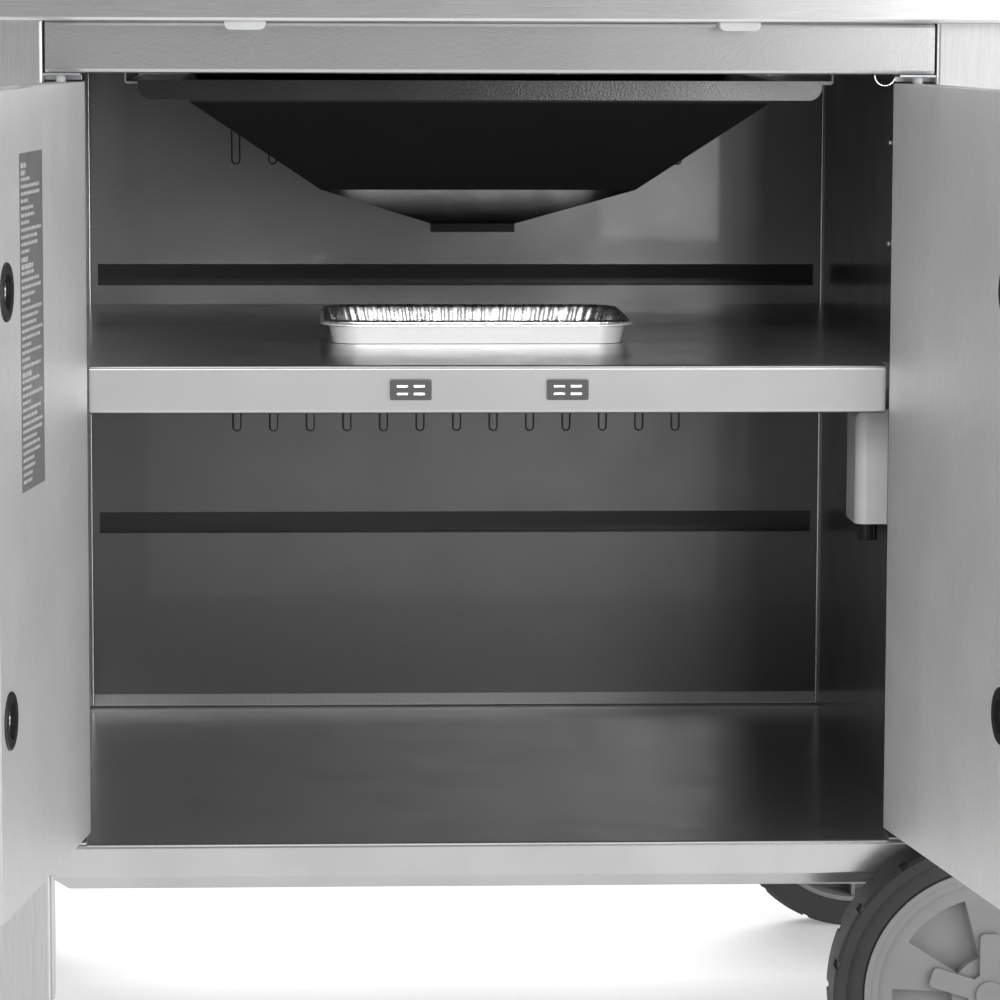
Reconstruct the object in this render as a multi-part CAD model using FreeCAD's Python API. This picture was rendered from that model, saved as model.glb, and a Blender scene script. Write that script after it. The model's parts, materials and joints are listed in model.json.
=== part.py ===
import FreeCAD, Part
import math
import os

# Gas barbecue grill on a two-door cabinet.  Millimetres, +Z up, +X to the grill's own left-to-right
# as seen from the front, +Y into the cabinet.  The model is drawn with Y = 0 on the cabinet's front
# plane and is moved along Y at the very end, so that the origin is the middle of its base.

# ---- cabinet ------------------------------------------------------------------------------------
OPENING_WIDTH = 570.0  # clear width between the posts
CABINET_DEPTH = 575.0  # front plane to the back panel
FLOOR_DROP = 15.2  # cabinet floor under the top of the wheels
SHELF_UP = 317.0  # shelf over the floor
HEADER_UP = 505.7  # underside of the fascia over the floor
FASCIA_HEIGHT = 32.8
SHEET = 1.2
BEND = 1.6  # inside radius of a folded sheet
TINY = 0.01  # slack for picking edges by their place
LAP = 1.0  # overlap of pieces that are welded

POST_WIDTH = 66.0
POST_DEPTH = 50.0
POST_WALL = 1.5
POST_CORNER = 3.0
POST_BACK_FACE = 37.0  # how far the rear posts stand behind the back panel
POST_FOOT_PLATE = 6.0
POST_CAP = 3.0  # plate welded over the top of each post
POST_BELOW_AXLE = 31.6  # right posts end this far under the axle

SIDE_FLANGE = 14.0
RAIL_SIZE = 25.0
RAIL_WALL = 1.5

BEADS_UP = (331.5, 138.1)  # lower edge of each long bead in the back panel, over the floor
BEAD_HEIGHT = 16.5
BEAD_RISE = 2.0  # height of the bead's short lower slope
BEAD_DEPTH = 6.0
BEAD_END = 7.0  # plain sheet left beyond each end of a bead
RIB_COUNT = 13
RIB_PITCH = 28.5
RIB_WIDTH = 7.0
RIB_DEPTH = 1.6
RIB_EDGE = 0.1  # straight part of a rib's side
RIB_SPANS_UP = ((217.7, 305.0), (425.0, 500.0))  # ends of the ribs over the floor

HEM_DEPTH = 46.0  # raised front edge of the cabinet floor
HEM_HEIGHT = 7.0
LIP_DROP = 23.0  # lower edge of the front lip under the floor
LIP_FLAT_DROP = 14.5
LIP_SETBACK = 5.0
LIP_RETURN = 14.0
LIP_CHAMFER = 12.0

SHELF_LIP = 31.6
SHELF_NOTCH = 26.1  # lip stops this far inside the posts
SHELF_NOTCH_DEPTH = 20.0
SHELF_SIDE_FLANGE = 18.0

FASCIA_GAP = 1.0
FASCIA_RETURN = 26.0

BOTTOM_RAIL_HEIGHT = 11.0
BOTTOM_RAIL_DEPTH = 14.0

# ---- doors --------------------------------------------------------------------------------------
DOOR_TOP_GAP = 5.7  # closed door to the fascia
DOOR_BOTTOM_GAP = 6.0  # closed door to the floor's hem
DOOR_THICKNESS = 21.0
DOOR_SKIN = 1.0
DOOR_EDGE_RADIUS = 1.5
DOOR_POST_GAP = 3.5
DOOR_MEETING_GAP = 3.0
DOOR_OPEN_DEG = 97.8
PIN_INSET = 10.5  # door pin to the post's inner face
PIN_Y = 7.0
PIN_RADIUS = 3.2
RUNNING = 0.05  # radial clearance of every pin that turns in a bore
BUSHING_LENGTH = 11.0
BUSHING_HALF = 6.0
PIN_HOLE_GAP = 0.6  # radial gap where a pin passes through a door's edge
BRACKET_WIDTH = 23.0
BRACKET_PLATE = 1.5
BRACKET_LIP = 3.2
BRACKET_FRONT = 1.0

HANDLE_FROM_HINGE = 254.0
HANDLE_SCREWS_UP = (117.0, 370.0)  # handle screws over the door's lower edge
HANDLE_OVERHANG = 22.0
HANDLE_STAND_OFF = 38.0
HANDLE_RADIUS = 8.0
HANDLE_POST_RADIUS = 6.5
HANDLE_END = 2.5  # rounding at the bar's ends
GROMMET_RADIUS = 17.5
GROMMET_CUP = 14.0  # outer radius of the cup
GROMMET_BORE = 11.0
GROMMET_PROUD = 1.6
GROMMET_RIM = 1.2  # rounding of the flange
SCREW_RADIUS = 2.5
GROMMET_FLOOR = 3.0
SCREW_REACH = 14.0  # thread inside the handle post

MAGNET_XS = (-51.0, 51.0)
MAGNET_SIZE = (27.0, 3.6, 13.0)
MAGNET_GAP = 0.4  # closed door to its magnets
MAGNET_SLOT = (7.5, 1.6)
MAGNET_SLOT_PITCH = (11.0, 5.0)
MAGNET_SLOT_DEPTH = 1.0
MAGNET_CORNER = 1.0

# ---- grease tray, its rails and the catch pan ---------------------------------------------------
RAIL_SIDE_GAP = 2.6  # tray to the web of each rail
RAIL_DROP = 41.7  # ledge under the top of the frame
RAIL_LEDGE = 10.0
RAIL_BEND = 0.8
RAIL_SETBACK = 15.0  # rails behind the tray's front
RAIL_PAST_TRAY = 5.0
TRAY_SHEET = 1.2
TRAY_CLEARANCE = 0.3
TRAY_FRONT = 155.0
TRAY_TO_BACK = 35.0  # tray to the back panel
TRAY_HALF = 238.0
TRAY_LIP_HALF = 231.0
TRAY_LIP_HEIGHT = 13.0
TRAY_LIP_CORNER = 9.0

PAN_CENTRE = (0.0, 267.0)
PAN_TOP = (206.0, 152.0)  # outside size at the top, across and deep
PAN_DRAFT = 3.0
PAN_CORNER = 20.0
PAN_HEIGHT = 13.5
PAN_RIM = 5.0
PAN_WALL = 0.8
LINER_GAP = 0.3
LINER_WALL = 0.5
LINER_STAND = 3.0  # the liner's rim above the pan's rim

# ---- small things inside the cabinet ------------------------------------------------------------
BATTERY_BOX = (22.0, 56.0, 80.0)
BATTERY_FRONT = 196.0
BATTERY_DROP = 126.0  # lower edge of the housing under the shelf
BATTERY_CAP_RADIUS = 9.5
BATTERY_CAP_HEIGHT = 13.0
BATTERY_CORNER = 8.0
BATTERY_ROOF = 12.0  # solid part of the housing above its bore
BATTERY_WALL = 2.0  # cap flange beyond the bore
CAP_FLANGE = 1.5
CAP_GRIP_INSET = 2.5
CAP_PLUG = 10.0
CAP_FLUTES = 12
CAP_FLUTE_RADIUS = 1.0
CAP_FLUTE_INSET = 2.2
CAP_FLUTE_TOP = 3.0  # the flutes stop this far below the housing
MATCH_RING_INSET = 28.5  # ring to the post
MATCH_RING_Y = 30.0
MATCH_RING_RADIUS = 6.6
MATCH_WIRE = 0.8
MATCH_COIL_RADIUS = 2.0
MATCH_COIL_DROP = 1.0  # the coil's middle below the ring's
CLIP_XS = (-157.0, 157.0)
CLIP_SIZE = (26.0, 16.0, 5.0)
CLIP_CORNER = 4.0
CLIP_SETBACK = 2.5  # clips behind the panel's front

# ---- wheels and casters -------------------------------------------------------------------------
WHEEL_RADIUS = 101.6
WHEEL_WIDTH = 42.0
AXLE_INSET = 28.5  # axle to the posts' outer faces
AXLE_RADIUS = 6.0
AXLE_SETBACK = 1.0  # axle ends behind the hubs' caps
WHEEL_FRONT_Y = -45.4
WHEEL_POST_GAP = 5.0  # rear wheel to the rear posts
TYRE_INNER = 81.5
TYRE_SHOULDER = WHEEL_RADIUS - 8.1
# the tyre's section as radius and distance behind its outer face
TYRE_SECTION = (
    (TYRE_INNER, 4.0),
    (TYRE_INNER, WHEEL_WIDTH),
    (WHEEL_RADIUS - 3.0, WHEEL_WIDTH),
    (WHEEL_RADIUS, WHEEL_WIDTH - 4.0),
    (WHEEL_RADIUS, 4.0),
    (WHEEL_RADIUS - 2.0, 1.0),
    (TYRE_SHOULDER, 0.0),
    (TYRE_SHOULDER - 1.0, 3.0),
    (TYRE_INNER + 2.0, 1.5),
)
TREAD_NOTCHES = 16
TREAD_NOTCH = (3.2, 15.0, 5.2)  # radial, along the tread and across
TREAD_NOTCH_DEPTH = 1.6
HUB_BOSS_RADIUS = 13.0
HUB_DISH = 5.0
HUB_WALL = 3.0
HUB_BARREL = (2.0, 4.0)  # set in from the wheel's faces, and wall
HUB_RIM = (8.0, 2.0)  # width and height of the raised ring at the hub's edge
HUB_RIBS = 10
HUB_RIB = 3.0
HUB_BACK = 8.0  # the ribs stop this far short of the wheel's inner face
POCKET_DEPTH = 6.0
POCKET_WALL = 3.0
POCKET_RADII = (24.0, 63.0)
POCKET_DEG = 42.0
FIRST_POCKET_DEG = 126.0
STAR_ARMS = 5
STAR_ARM = (40.0, 13.0)
STAR_THICKNESS = 4.0
STAR_CENTRE = 14.0
STAR_BUTTON = 9.0
STAR_CORNER = 3.0
CAP_PROUD = 1.0  # the cap's middle stands this far out of the wheel's face

CASTER_TOP_Z = 87.0
CASTER_RADIUS = 32.0
CASTER_WIDTH = 24.0
CASTER_TRAIL = 36.0
CASTER_PLATE = 5.0
CASTER_PLATE_RADIUS = 23.0
CASTER_STEM_RADIUS = 5.0
CASTER_STEM = 30.0
KINGPIN_HEAD = (3.0, 2.5)  # beyond the pin, and thickness
CASTER_GROOVE = (24.0, 11.0, 4.0)  # outer and inner radius and depth of the recess in each side
CASTER_EDGE = 4.0
FORK_SETBACK = 2.0  # fork's round top inside the plate's
BRAKE_PIVOT = (11.0, 5.5)  # in front of the wheel's pin, and below the fork's top plate
BRAKE_EYE = 5.0
KINGPIN_RADIUS = 5.0
FORK_PLATE = 6.0
FORK_CHEEK = 3.0
FORK_GAP = 1.5
FORK_BRIDGE = 4.0  # the bridge reaches this far beyond the wheel's pin
CHEEK_TOP = (8.0, 14.0)  # top edge: from the kingpin inwards, and beyond the wheel's pin
CHEEK_FOOT = (9.0, 11.0)  # foot: to both sides of the wheel's pin
CHEEK_DROP = 8.0  # foot below the wheel's pin
CASTER_AXLE_RADIUS = 4.0
BRAKE_PIN_RADIUS = 2.5
BRAKE_LENGTH = 34.0
BRAKE_THICKNESS = 3.0
BRAKE_RISE = 4.5  # top of the lever above its pin, at the eye
BRAKE_NOSE = 2.0
BRAKE_PRESSED_DEG = 12.0  # the lever stands pressed, with the brake on

# ---- control panel and gas train ----------------------------------------------------------------
PANEL_OVERHANG = 6.0  # panel beyond the posts, each side
PANEL_FRONT = -22.0
PANEL_STRIP = 22.0
PANEL_SLOPE = (30.0, 98.0)  # how far the face leans back, and its height
PANEL_BACK = 52.0
KNOB_XS = (-180.0, 0.0, 180.0)
KNOB_RADIUS = 27.0
KNOB_SKIRT = 6.0
KNOB_DEPTH = 26.0
KNOB_GRIP = 12.0
KNOB_GRIP_CORNER = 2.5
KNOB_STEP = 4.0  # skirt beyond the crown, and crown above the skirt
KNOB_EDGE = 1.5
KNOB_FACE = 5.0  # metal left in front of the stem's bore
KNOB_GAP = 1.0
BEZEL_RADIUS = 35.0
BEZEL_THICKNESS = 3.0
BEZEL_EDGE = 2.0
STEM_RADIUS = 4.0
STEM_END_GAP = 1.0
STEM_HOLE_RADIUS = 7.0
VALVE_RADIUS = 11.0
VALVE_START = 10.0
VALVE_END = 34.0
MANIFOLD_DEPTH = 48.0  # manifold axis behind the panel's face, along the valves
MANIFOLD_RADIUS = 10.0
MANIFOLD_BORE = 8.0
MANIFOLD_END = 4.0  # solid metal left at each end of the pipe
ORIFICE_RADIUS = 4.5
ORIFICE_REACH = 4.0  # how far each orifice stands inside its burner
MANIFOLD_XS = (-275.0, 232.0)
INLET_RADIUS = 7.94
INLET_LENGTH = 20.0
INLET_PIPE = 6.0
INLET_STAND = 4.0  # bare pipe between the panel's end and the inlet's nose
INLET_BORE = 4.0
INLET_GAP = 1.0  # radial gap round the pipe in the panel's end
IGNITER_X = 272.0
IGNITER_RADIUS = 9.0
IGNITER_STROKE = 4.0
IGNITER_HOUSING = 14.0
IGNITER_COLLAR = 2.0  # collar beyond the body
IGNITER_COLLAR_HEIGHT = 4.0
IGNITER_BACK = 30.0  # the body reaches this far behind the panel
IGNITER_FLOOR = 4.0
IGNITER_PLAY = 0.3
IGNITER_TAIL = 12.0  # part of the button behind the panel's face
IGNITER_EDGE = 1.2

# ---- cook box -----------------------------------------------------------------------------------
BOX_OVERHANG = 50.0  # cook box beyond the cabinet's opening, each side
BOX_FRONT = 66.0
BOX_TO_BACK = 9.0  # cook box's back in front of the back panel
BOX_SIDE = 140.0  # height of the upright walls
BOX_KNEE = 38.5  # lower edge of the walls over the frame
BOX_MOUTH_UP = 3.0  # mouth of the hopper over the frame
MOUTH_HALF = 196.0
MOUTH_FRONT = 167.0
MOUTH_TO_TRAY = 17.0  # mouth's back in front of the tray's back
BOX_WALL = 4.0
BOX_FOOT = 22.0
BOX_FOOT_SETBACK = 40.0
BURNER_RADIUS = 12.5
BURNER_WALL = 1.5
BURNER_TAB = (16.0, 16.0, 4.0)  # the tab that carries the tube's far end
BURNER_HOLE_GAP = 0.4
BURNER_INLET_Y = 58.0
TAMER_UP = 47.0  # ledges for the tamers over the walls' lower edge
TAMER_HALF = 46.0
TAMER_RISE = 36.0
TAMER_PLAY = 1.0
TAMER_BEND = 3.0
GRATE_DROP = 39.0  # ledges for the grates under the walls' top
LEDGE_WIDTH = 13.0
LEDGE_THICKNESS = 7.0
GRATE_THICKNESS = 11.0
GRATE_BORDER = 12.0
GRATE_BAR = 7.0
GRATE_BARS = 15
GRATE_GAP = 3.0
GRATE_PLAY = 1.5
RACK_UP = 57.0  # rack over the cook box
RACK_DEPTH = 112.0
RACK_TO_BACK = 26.0
RACK_WIRE = 2.4
RACK_INSET = 5.0
RACK_RODS = 27
RACK_CROSS_WIRE = 2.1
RACK_THIN_WIRE = 1.7
RACK_PLATE = (3.5, 24.0)
RACK_DROP = 1.0  # plates below the cook box's rim

# ---- lid ----------------------------------------------------------------------------------------
LID_OVERHANG = 3.0  # lid beyond the cook box, each side
LID_CAP = 12.0
LID_GAP = 0.4  # lid over the cook box
LID_SHEET = 1.5
LID_CAP_EDGE = 3.0
LID_CAP_RIM = 7.0
LID_CAP_PLATE = 4.0
LID_BENDS = (60.0, 90.0, 250.0, 90.0, 60.0)
HINGE_INSET = 37.0  # hinges from the cook box's ends
HINGE_BEHIND = 19.0  # hinge pins behind the cook box
HINGE_UP = 9.6  # hinge pins over the lid's lower edge
HINGE_PIN_RADIUS = 4.0
HINGE_EAR_RADIUS = 9.0
HINGE_EAR = 4.0
HINGE_PLATE = 35.0  # the brackets reach this far below the cook box's rim
HINGE_SIDE_GAP = 0.5
HINGE_HEAD = 2.0  # rivet head beyond the pin, and its thickness
LID_EAR_HEIGHT = 14.0
LID_EAR = 6.0
LID_HANDLE_HALF = 255.0
LID_HANDLE_RADIUS = 11.0
LID_HANDLE_STAND = 48.0
LID_HANDLE_UP = 79.6  # handle over the lid's lower edge
LID_HANDLE_POST_X = 222.0
LID_HANDLE_END = 3.0
LID_POST_RADIUS = 8.0
LID_POST_REACH = 6.0  # posts run this far past the bar's stand, to be cut by the lid's face
LID_FLANGE = (13.0, 10.0)  # radius and length of the flange at each post's foot
GAUGE_RADIUS = 34.0
GAUGE_DEPTH = 14.0
GAUGE_UP = 80.0  # gauge centre along the lid's sloping face, above its lower bend
GAUGE_FLOOR = 3.0
GAUGE_PROBE = 4.0
GAUGE_PROBE_LENGTH = 60.0
GAUGE_WALL = 4.0
GAUGE_EDGE = 2.5
GAUGE_ROOT = 1.0  # probe's overlap into the cup's floor
POINTER_STAND = 1.0  # pointer above the cup's floor
POINTER_HUB = (4.0, 1.5)
POINTER_WIDTHS = (2.4, 1.0)
POINTER_TAIL = 0.3
POINTER_SHAFT = 1.5
POINTER_COLD_DEG = 120.0  # the cold pointer is this far round to the left of straight up
POINTER_REACH = 24.0

# ---- side tables --------------------------------------------------------------------------------
TABLE_GAP = 20.0  # lid end cap to table
TABLE_WIDTH = 345.0
TABLE_FRONT = 62.0
TABLE_TO_BACK = 44.0  # tables' back in front of the cook box's back
TABLE_DROP = 3.0  # tables under the cook box's top
TABLE_SKIRT = 32.0
TABLE_HEM = 12.0
TABLE_SHEET = 1.5
TABLE_CORNER = 4.0
ARM_FRONT = 110.0
ARM_TO_BACK = 96.0
ARM_THICKNESS = 4.0
ARM_HEIGHT = 40.0
ARM_REACH = 250.0
ARM_PLATE = 4.0
ARM_FOOT = 12.0

# ---- values worked out from the ones above ------------------------------------------------------
FLOOR_Z = 2 * WHEEL_RADIUS - FLOOR_DROP
SHELF_Z = FLOOR_Z + SHELF_UP
HEADER_Z = FLOOR_Z + HEADER_UP
FRAME_TOP_Z = HEADER_Z + FASCIA_HEIGHT
HEM_Z = FLOOR_Z + HEM_HEIGHT
LIP_BOTTOM_Z = FLOOR_Z - LIP_DROP
LIP_FLAT_Z = FLOOR_Z - LIP_FLAT_DROP
RIGHT_POST_BOTTOM_Z = WHEEL_RADIUS - POST_BELOW_AXLE
DOOR_TOP_Z = HEADER_Z - DOOR_TOP_GAP
DOOR_BOTTOM_Z = HEM_Z + DOOR_BOTTOM_GAP
HANDLE_SCREW_ZS = tuple(DOOR_BOTTOM_Z + up for up in HANDLE_SCREWS_UP)
SHELF_FRONT = DOOR_THICKNESS + MAGNET_GAP + MAGNET_SIZE[1]
RAIL_LEDGE_Z = FRAME_TOP_Z - RAIL_DROP
TRAY_RIM_Z = RAIL_LEDGE_Z + TRAY_CLEARANCE + TRAY_SHEET
BOX_KNEE_Z = FRAME_TOP_Z + BOX_KNEE
BOX_MOUTH_Z = FRAME_TOP_Z + BOX_MOUTH_UP
BOX_TOP_Z = BOX_KNEE_Z + BOX_SIDE
TAMER_LEDGE_Z = BOX_KNEE_Z + TAMER_UP
GRATE_LEDGE_Z = BOX_TOP_Z - GRATE_DROP
RACK_Z = BOX_TOP_Z + RACK_UP
LID_BOTTOM_Z = BOX_TOP_Z + LID_GAP
LID_HANDLE_Z = LID_BOTTOM_Z + LID_HANDLE_UP
HINGE_Z = LID_BOTTOM_Z + HINGE_UP
TABLE_TOP_Z = BOX_TOP_Z - TABLE_DROP

HALF = OPENING_WIDTH / 2
POST_OUTER = HALF + POST_WIDTH
AXLE_X = POST_OUTER - AXLE_INSET
MATCH_RING_X = HALF - MATCH_RING_INSET
RAIL_WEB_X = TRAY_HALF + RAIL_SIDE_GAP
PANEL_HALF = POST_OUTER + PANEL_OVERHANG
BOX_HALF = HALF + BOX_OVERHANG
LID_HALF = BOX_HALF + LID_OVERHANG
HINGE_X = BOX_HALF - HINGE_INSET

REAR_POST_BACK = CABINET_DEPTH + POST_BACK_FACE
REAR_POST_FRONT = REAR_POST_BACK - POST_DEPTH
TRAY_BACK = CABINET_DEPTH - TRAY_TO_BACK
TRAY_RAIL_YS = (TRAY_FRONT + RAIL_SETBACK, TRAY_BACK + RAIL_PAST_TRAY)
BOX_BACK = CABINET_DEPTH - BOX_TO_BACK
BOX_MOUTH = (MOUTH_HALF, MOUTH_FRONT, TRAY_BACK - MOUTH_TO_TRAY)
RACK_YS = (BOX_BACK - RACK_TO_BACK - RACK_DEPTH, BOX_BACK - RACK_TO_BACK)
HINGE_Y = BOX_BACK + HINGE_BEHIND
TABLE_YS = (TABLE_FRONT, BOX_BACK - TABLE_TO_BACK)
ARM_YS = (ARM_FRONT, BOX_BACK - ARM_TO_BACK)

# half width, front y, back y and z of each level of the funnel, from the tray's rim down
FUNNEL = (
    (203.0, 160.0, TRAY_BACK - 8.0, TRAY_RIM_Z),
    (196.0, 163.0, TRAY_BACK - 12.0, TRAY_RIM_Z - 15.3),
    (108.0, 194.0, 400.0, TRAY_RIM_Z - 75.3),
    (29.6, 285.0, 315.0, TRAY_RIM_Z - 103.3),
    (29.6, 285.0, 315.0, TRAY_RIM_Z - 109.3),
)
LID_SHOULDERS = (BOX_FRONT + 112.0, BOX_BACK - 86.0)
LID_CREST = sum(LID_SHOULDERS) / 2 + 1.0
# face of the lid from its front edge over the top to its back edge, as y and z
LID_FACE = (
    (BOX_FRONT - 6.0, LID_BOTTOM_Z),
    (BOX_FRONT + 2.0, LID_BOTTOM_Z + 104.6),
    (LID_SHOULDERS[0], LID_BOTTOM_Z + 240.6),
    (LID_CREST, LID_BOTTOM_Z + 270.6),
    (LID_SHOULDERS[1], LID_BOTTOM_Z + 244.6),
    (BOX_BACK + 7.5, LID_BOTTOM_Z + 144.6),
    (BOX_BACK + 7.5, LID_BOTTOM_Z),
)
PIN_X = HALF - PIN_INSET
DOOR_HINGE_X = HALF - DOOR_POST_GAP
DOOR_FREE_X = DOOR_MEETING_GAP / 2
HANDLE_X = DOOR_HINGE_X - HANDLE_FROM_HINGE
REAR_WHEEL_Y = REAR_POST_BACK + WHEEL_POST_GAP
CASTER_X = -(HALF + POST_WIDTH / 2)
CASTER_YS = (POST_DEPTH / 2, REAR_POST_BACK - POST_DEPTH / 2)
CASTER_WHEEL_X = CASTER_X - CASTER_TRAIL
PIVOT_PLATE_Z = CASTER_TOP_Z - CASTER_PLATE
FORK_TOP_Z = PIVOT_PLATE_Z - TRAY_CLEARANCE
TABLE_INNER = LID_HALF + LID_CAP + TABLE_GAP
TABLE_OUTER = TABLE_INNER + TABLE_WIDTH
SLOPE_LENGTH = math.hypot(*PANEL_SLOPE)
SLOPE_UP = (PANEL_SLOPE[0] / SLOPE_LENGTH, PANEL_SLOPE[1] / SLOPE_LENGTH)
PANEL_NORMAL = (-SLOPE_UP[1], SLOPE_UP[0])
PANEL_MID = (PANEL_FRONT + PANEL_SLOPE[0] / 2, FRAME_TOP_Z + PANEL_STRIP + PANEL_SLOPE[1] / 2)

# The doors stand open, so they set the front of the whole grill; the rear wheel's cap sets the back.
SWING = math.radians(DOOR_OPEN_DEG)
INNER_CORNER = (DOOR_THICKNESS - PIN_Y) * abs(math.cos(SWING))
FRONT_LIMIT = PIN_Y - (PIN_X - DOOR_FREE_X) * math.sin(SWING) - INNER_CORNER
BACK_LIMIT = REAR_WHEEL_Y + WHEEL_WIDTH + CAP_PROUD
SHIFT_Y = -(FRONT_LIMIT + BACK_LIMIT) / 2

X_AXIS = FreeCAD.Vector(1, 0, 0)
Y_AXIS = FreeCAD.Vector(0, 1, 0)
Z_AXIS = FreeCAD.Vector(0, 0, 1)
NODES = {}


# ---- helpers ------------------------------------------------------------------------------------
def add(name, *solids):
    """Keeps the solids of one node."""
    NODES[name] = list(solids)


def vec(x, y, z):
    return FreeCAD.Vector(x, y, z)


def box(xs, ys, zs):
    """A box from its (low, high) pair along each axis."""
    return Part.makeBox(xs[1] - xs[0], ys[1] - ys[0], zs[1] - zs[0], vec(xs[0], ys[0], zs[0]))


def rod(start, axis, radius, length):
    return Part.makeCylinder(radius, length, start, axis)


def ring(start, axis, outer, inner, length):
    return rod(start, axis, outer, length).cut(rod(start, axis, inner, length))


def weld(first, *others):
    """One solid from solids that overlap or share faces."""
    return first.fuse(list(others)).removeSplitter()


def mirrored(shape):
    return shape.mirror(vec(0, 0, 0), X_AXIS)


def turned(shape, base, axis, degrees):
    turned_shape = shape.copy()
    turned_shape.rotate(base, axis, degrees)
    return turned_shape


def moved(shape, x, y, z):
    moved_shape = shape.copy()
    moved_shape.translate(vec(x, y, z))
    return moved_shape


def rounded(shape, radius, axis):
    """Rounds every straight edge that runs along the axis."""
    edges = []
    for edge in shape.Edges:
        if isinstance(edge.Curve, Part.Line) and abs(edge.Curve.Direction.dot(axis)) > 0.999:
            edges.append(edge)
    return shape.makeFillet(radius, edges)


def in_plane(plane, a, b, depth=0.0):
    """A point from two in-plane values: yz runs along X, xz along Y, xy along Z."""
    if plane == "yz":
        return vec(depth, a, b)
    if plane == "xz":
        return vec(a, depth, b)
    return vec(a, b, depth)


def along(plane, length):
    return {"yz": X_AXIS, "xz": Y_AXIS, "xy": Z_AXIS}[plane] * length


def prism(points, plane, span):
    """A polygon drawn in a plane and pulled through a (low, high) span across it."""
    corners = [in_plane(plane, a, b, span[0]) for a, b in points]
    outline = Part.makePolygon(corners + corners[:1])
    return Part.Face(outline).extrude(along(plane, span[1] - span[0]))


def bent_path(points, plane, depth, sheet, bends):
    """The two sides of a folded sheet as edges: the path itself, and its far side to the left.

    bends is the inside radius of every bend, or one radius for each bend.
    """
    if not isinstance(bends, tuple):
        bends = (bends,) * (len(points) - 2)
    directions = []
    for (a0, b0), (a1, b1) in zip(points, points[1:]):
        length = math.hypot(a1 - a0, b1 - b0)
        directions.append(((a1 - a0) / length, (b1 - b0) / length))

    def at(point):
        return in_plane(plane, point[0], point[1], depth)

    def left(point, direction):
        return (point[0] - direction[1] * sheet, point[1] + direction[0] * sheet)

    near = []
    far = []
    here = points[0]
    there = left(points[0], directions[0])
    for i, bend in enumerate(bends):
        before = directions[i]
        after = directions[i + 1]
        corner = points[i + 1]
        cross = before[0] * after[1] - before[1] * after[0]
        turn = math.atan2(cross, before[0] * after[0] + before[1] * after[1])
        side = 1.0 if cross > 0 else -1.0
        radius = bend + sheet if side > 0 else bend
        reach = radius * math.tan(abs(turn) / 2)
        start = (corner[0] - before[0] * reach, corner[1] - before[1] * reach)
        end = (corner[0] + after[0] * reach, corner[1] + after[1] * reach)
        centre = (start[0] - before[1] * radius * side, start[1] + before[0] * radius * side)
        away = math.hypot(corner[0] - centre[0], corner[1] - centre[1])
        unit = ((corner[0] - centre[0]) / away, (corner[1] - centre[1]) / away)
        other = radius - side * sheet
        middle = (centre[0] + unit[0] * radius, centre[1] + unit[1] * radius)
        far_middle = (centre[0] + unit[0] * other, centre[1] + unit[1] * other)
        far_start = left(start, before)
        far_end = left(end, after)
        near.append(Part.makeLine(at(here), at(start)))
        near.append(Part.Arc(at(start), at(middle), at(end)).toShape())
        far.append(Part.makeLine(at(there), at(far_start)))
        far.append(Part.Arc(at(far_start), at(far_middle), at(far_end)).toShape())
        here = end
        there = far_end
    near.append(Part.makeLine(at(here), at(points[-1])))
    far.append(Part.makeLine(at(there), at(left(points[-1], directions[-1]))))
    return near, far


def pulled(edges, plane, span):
    """A solid from a closed ring of edges drawn at the low end of the span."""
    outline = Part.Wire(Part.__sortEdges__(edges))
    return Part.Face(outline).extrude(along(plane, span[1] - span[0]))


def folded(points, plane, span, sheet, bends):
    """A folded sheet: the points are one face of the sheet, which lies to the left of the path."""
    near, far = bent_path(points, plane, span[0], sheet, bends)
    ends = [
        Part.makeLine(near[0].Vertexes[0].Point, far[0].Vertexes[0].Point),
        Part.makeLine(near[-1].Vertexes[-1].Point, far[-1].Vertexes[-1].Point),
    ]
    return pulled(near + far + ends, plane, span)


def rectangle(half, front, back, z):
    """A level rectangle, centred across X."""
    corners = [vec(-half, front, z), vec(half, front, z), vec(half, back, z), vec(-half, back, z)]
    return Part.makePolygon(corners + corners[:1])


def stack(levels):
    """A solid through rectangles given as (half width, front, back, z)."""
    return Part.makeLoft([rectangle(*level) for level in levels], True, True)


def rounded_slab(centre, size, corner, zs):
    """A level slab with rounded corners, from its centre and size across and deep."""
    xs = (centre[0] - size[0] / 2, centre[0] + size[0] / 2)
    ys = (centre[1] - size[1] / 2, centre[1] + size[1] / 2)
    return rounded(box(xs, ys, zs), corner, Z_AXIS)


def on_panel(x, out, up=0.0):
    """A point at a distance out from the panel's sloping face, and up along it from its middle."""
    y = PANEL_MID[0] + PANEL_NORMAL[0] * out + SLOPE_UP[0] * up
    z = PANEL_MID[1] + PANEL_NORMAL[1] * out + SLOPE_UP[1] * up
    return vec(x, y, z)


def panel_rod(x, radius, start, end):
    """A round bar square to the panel's face, between two distances out from it."""
    return rod(on_panel(x, start), vec(0, *PANEL_NORMAL), radius, end - start)


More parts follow.
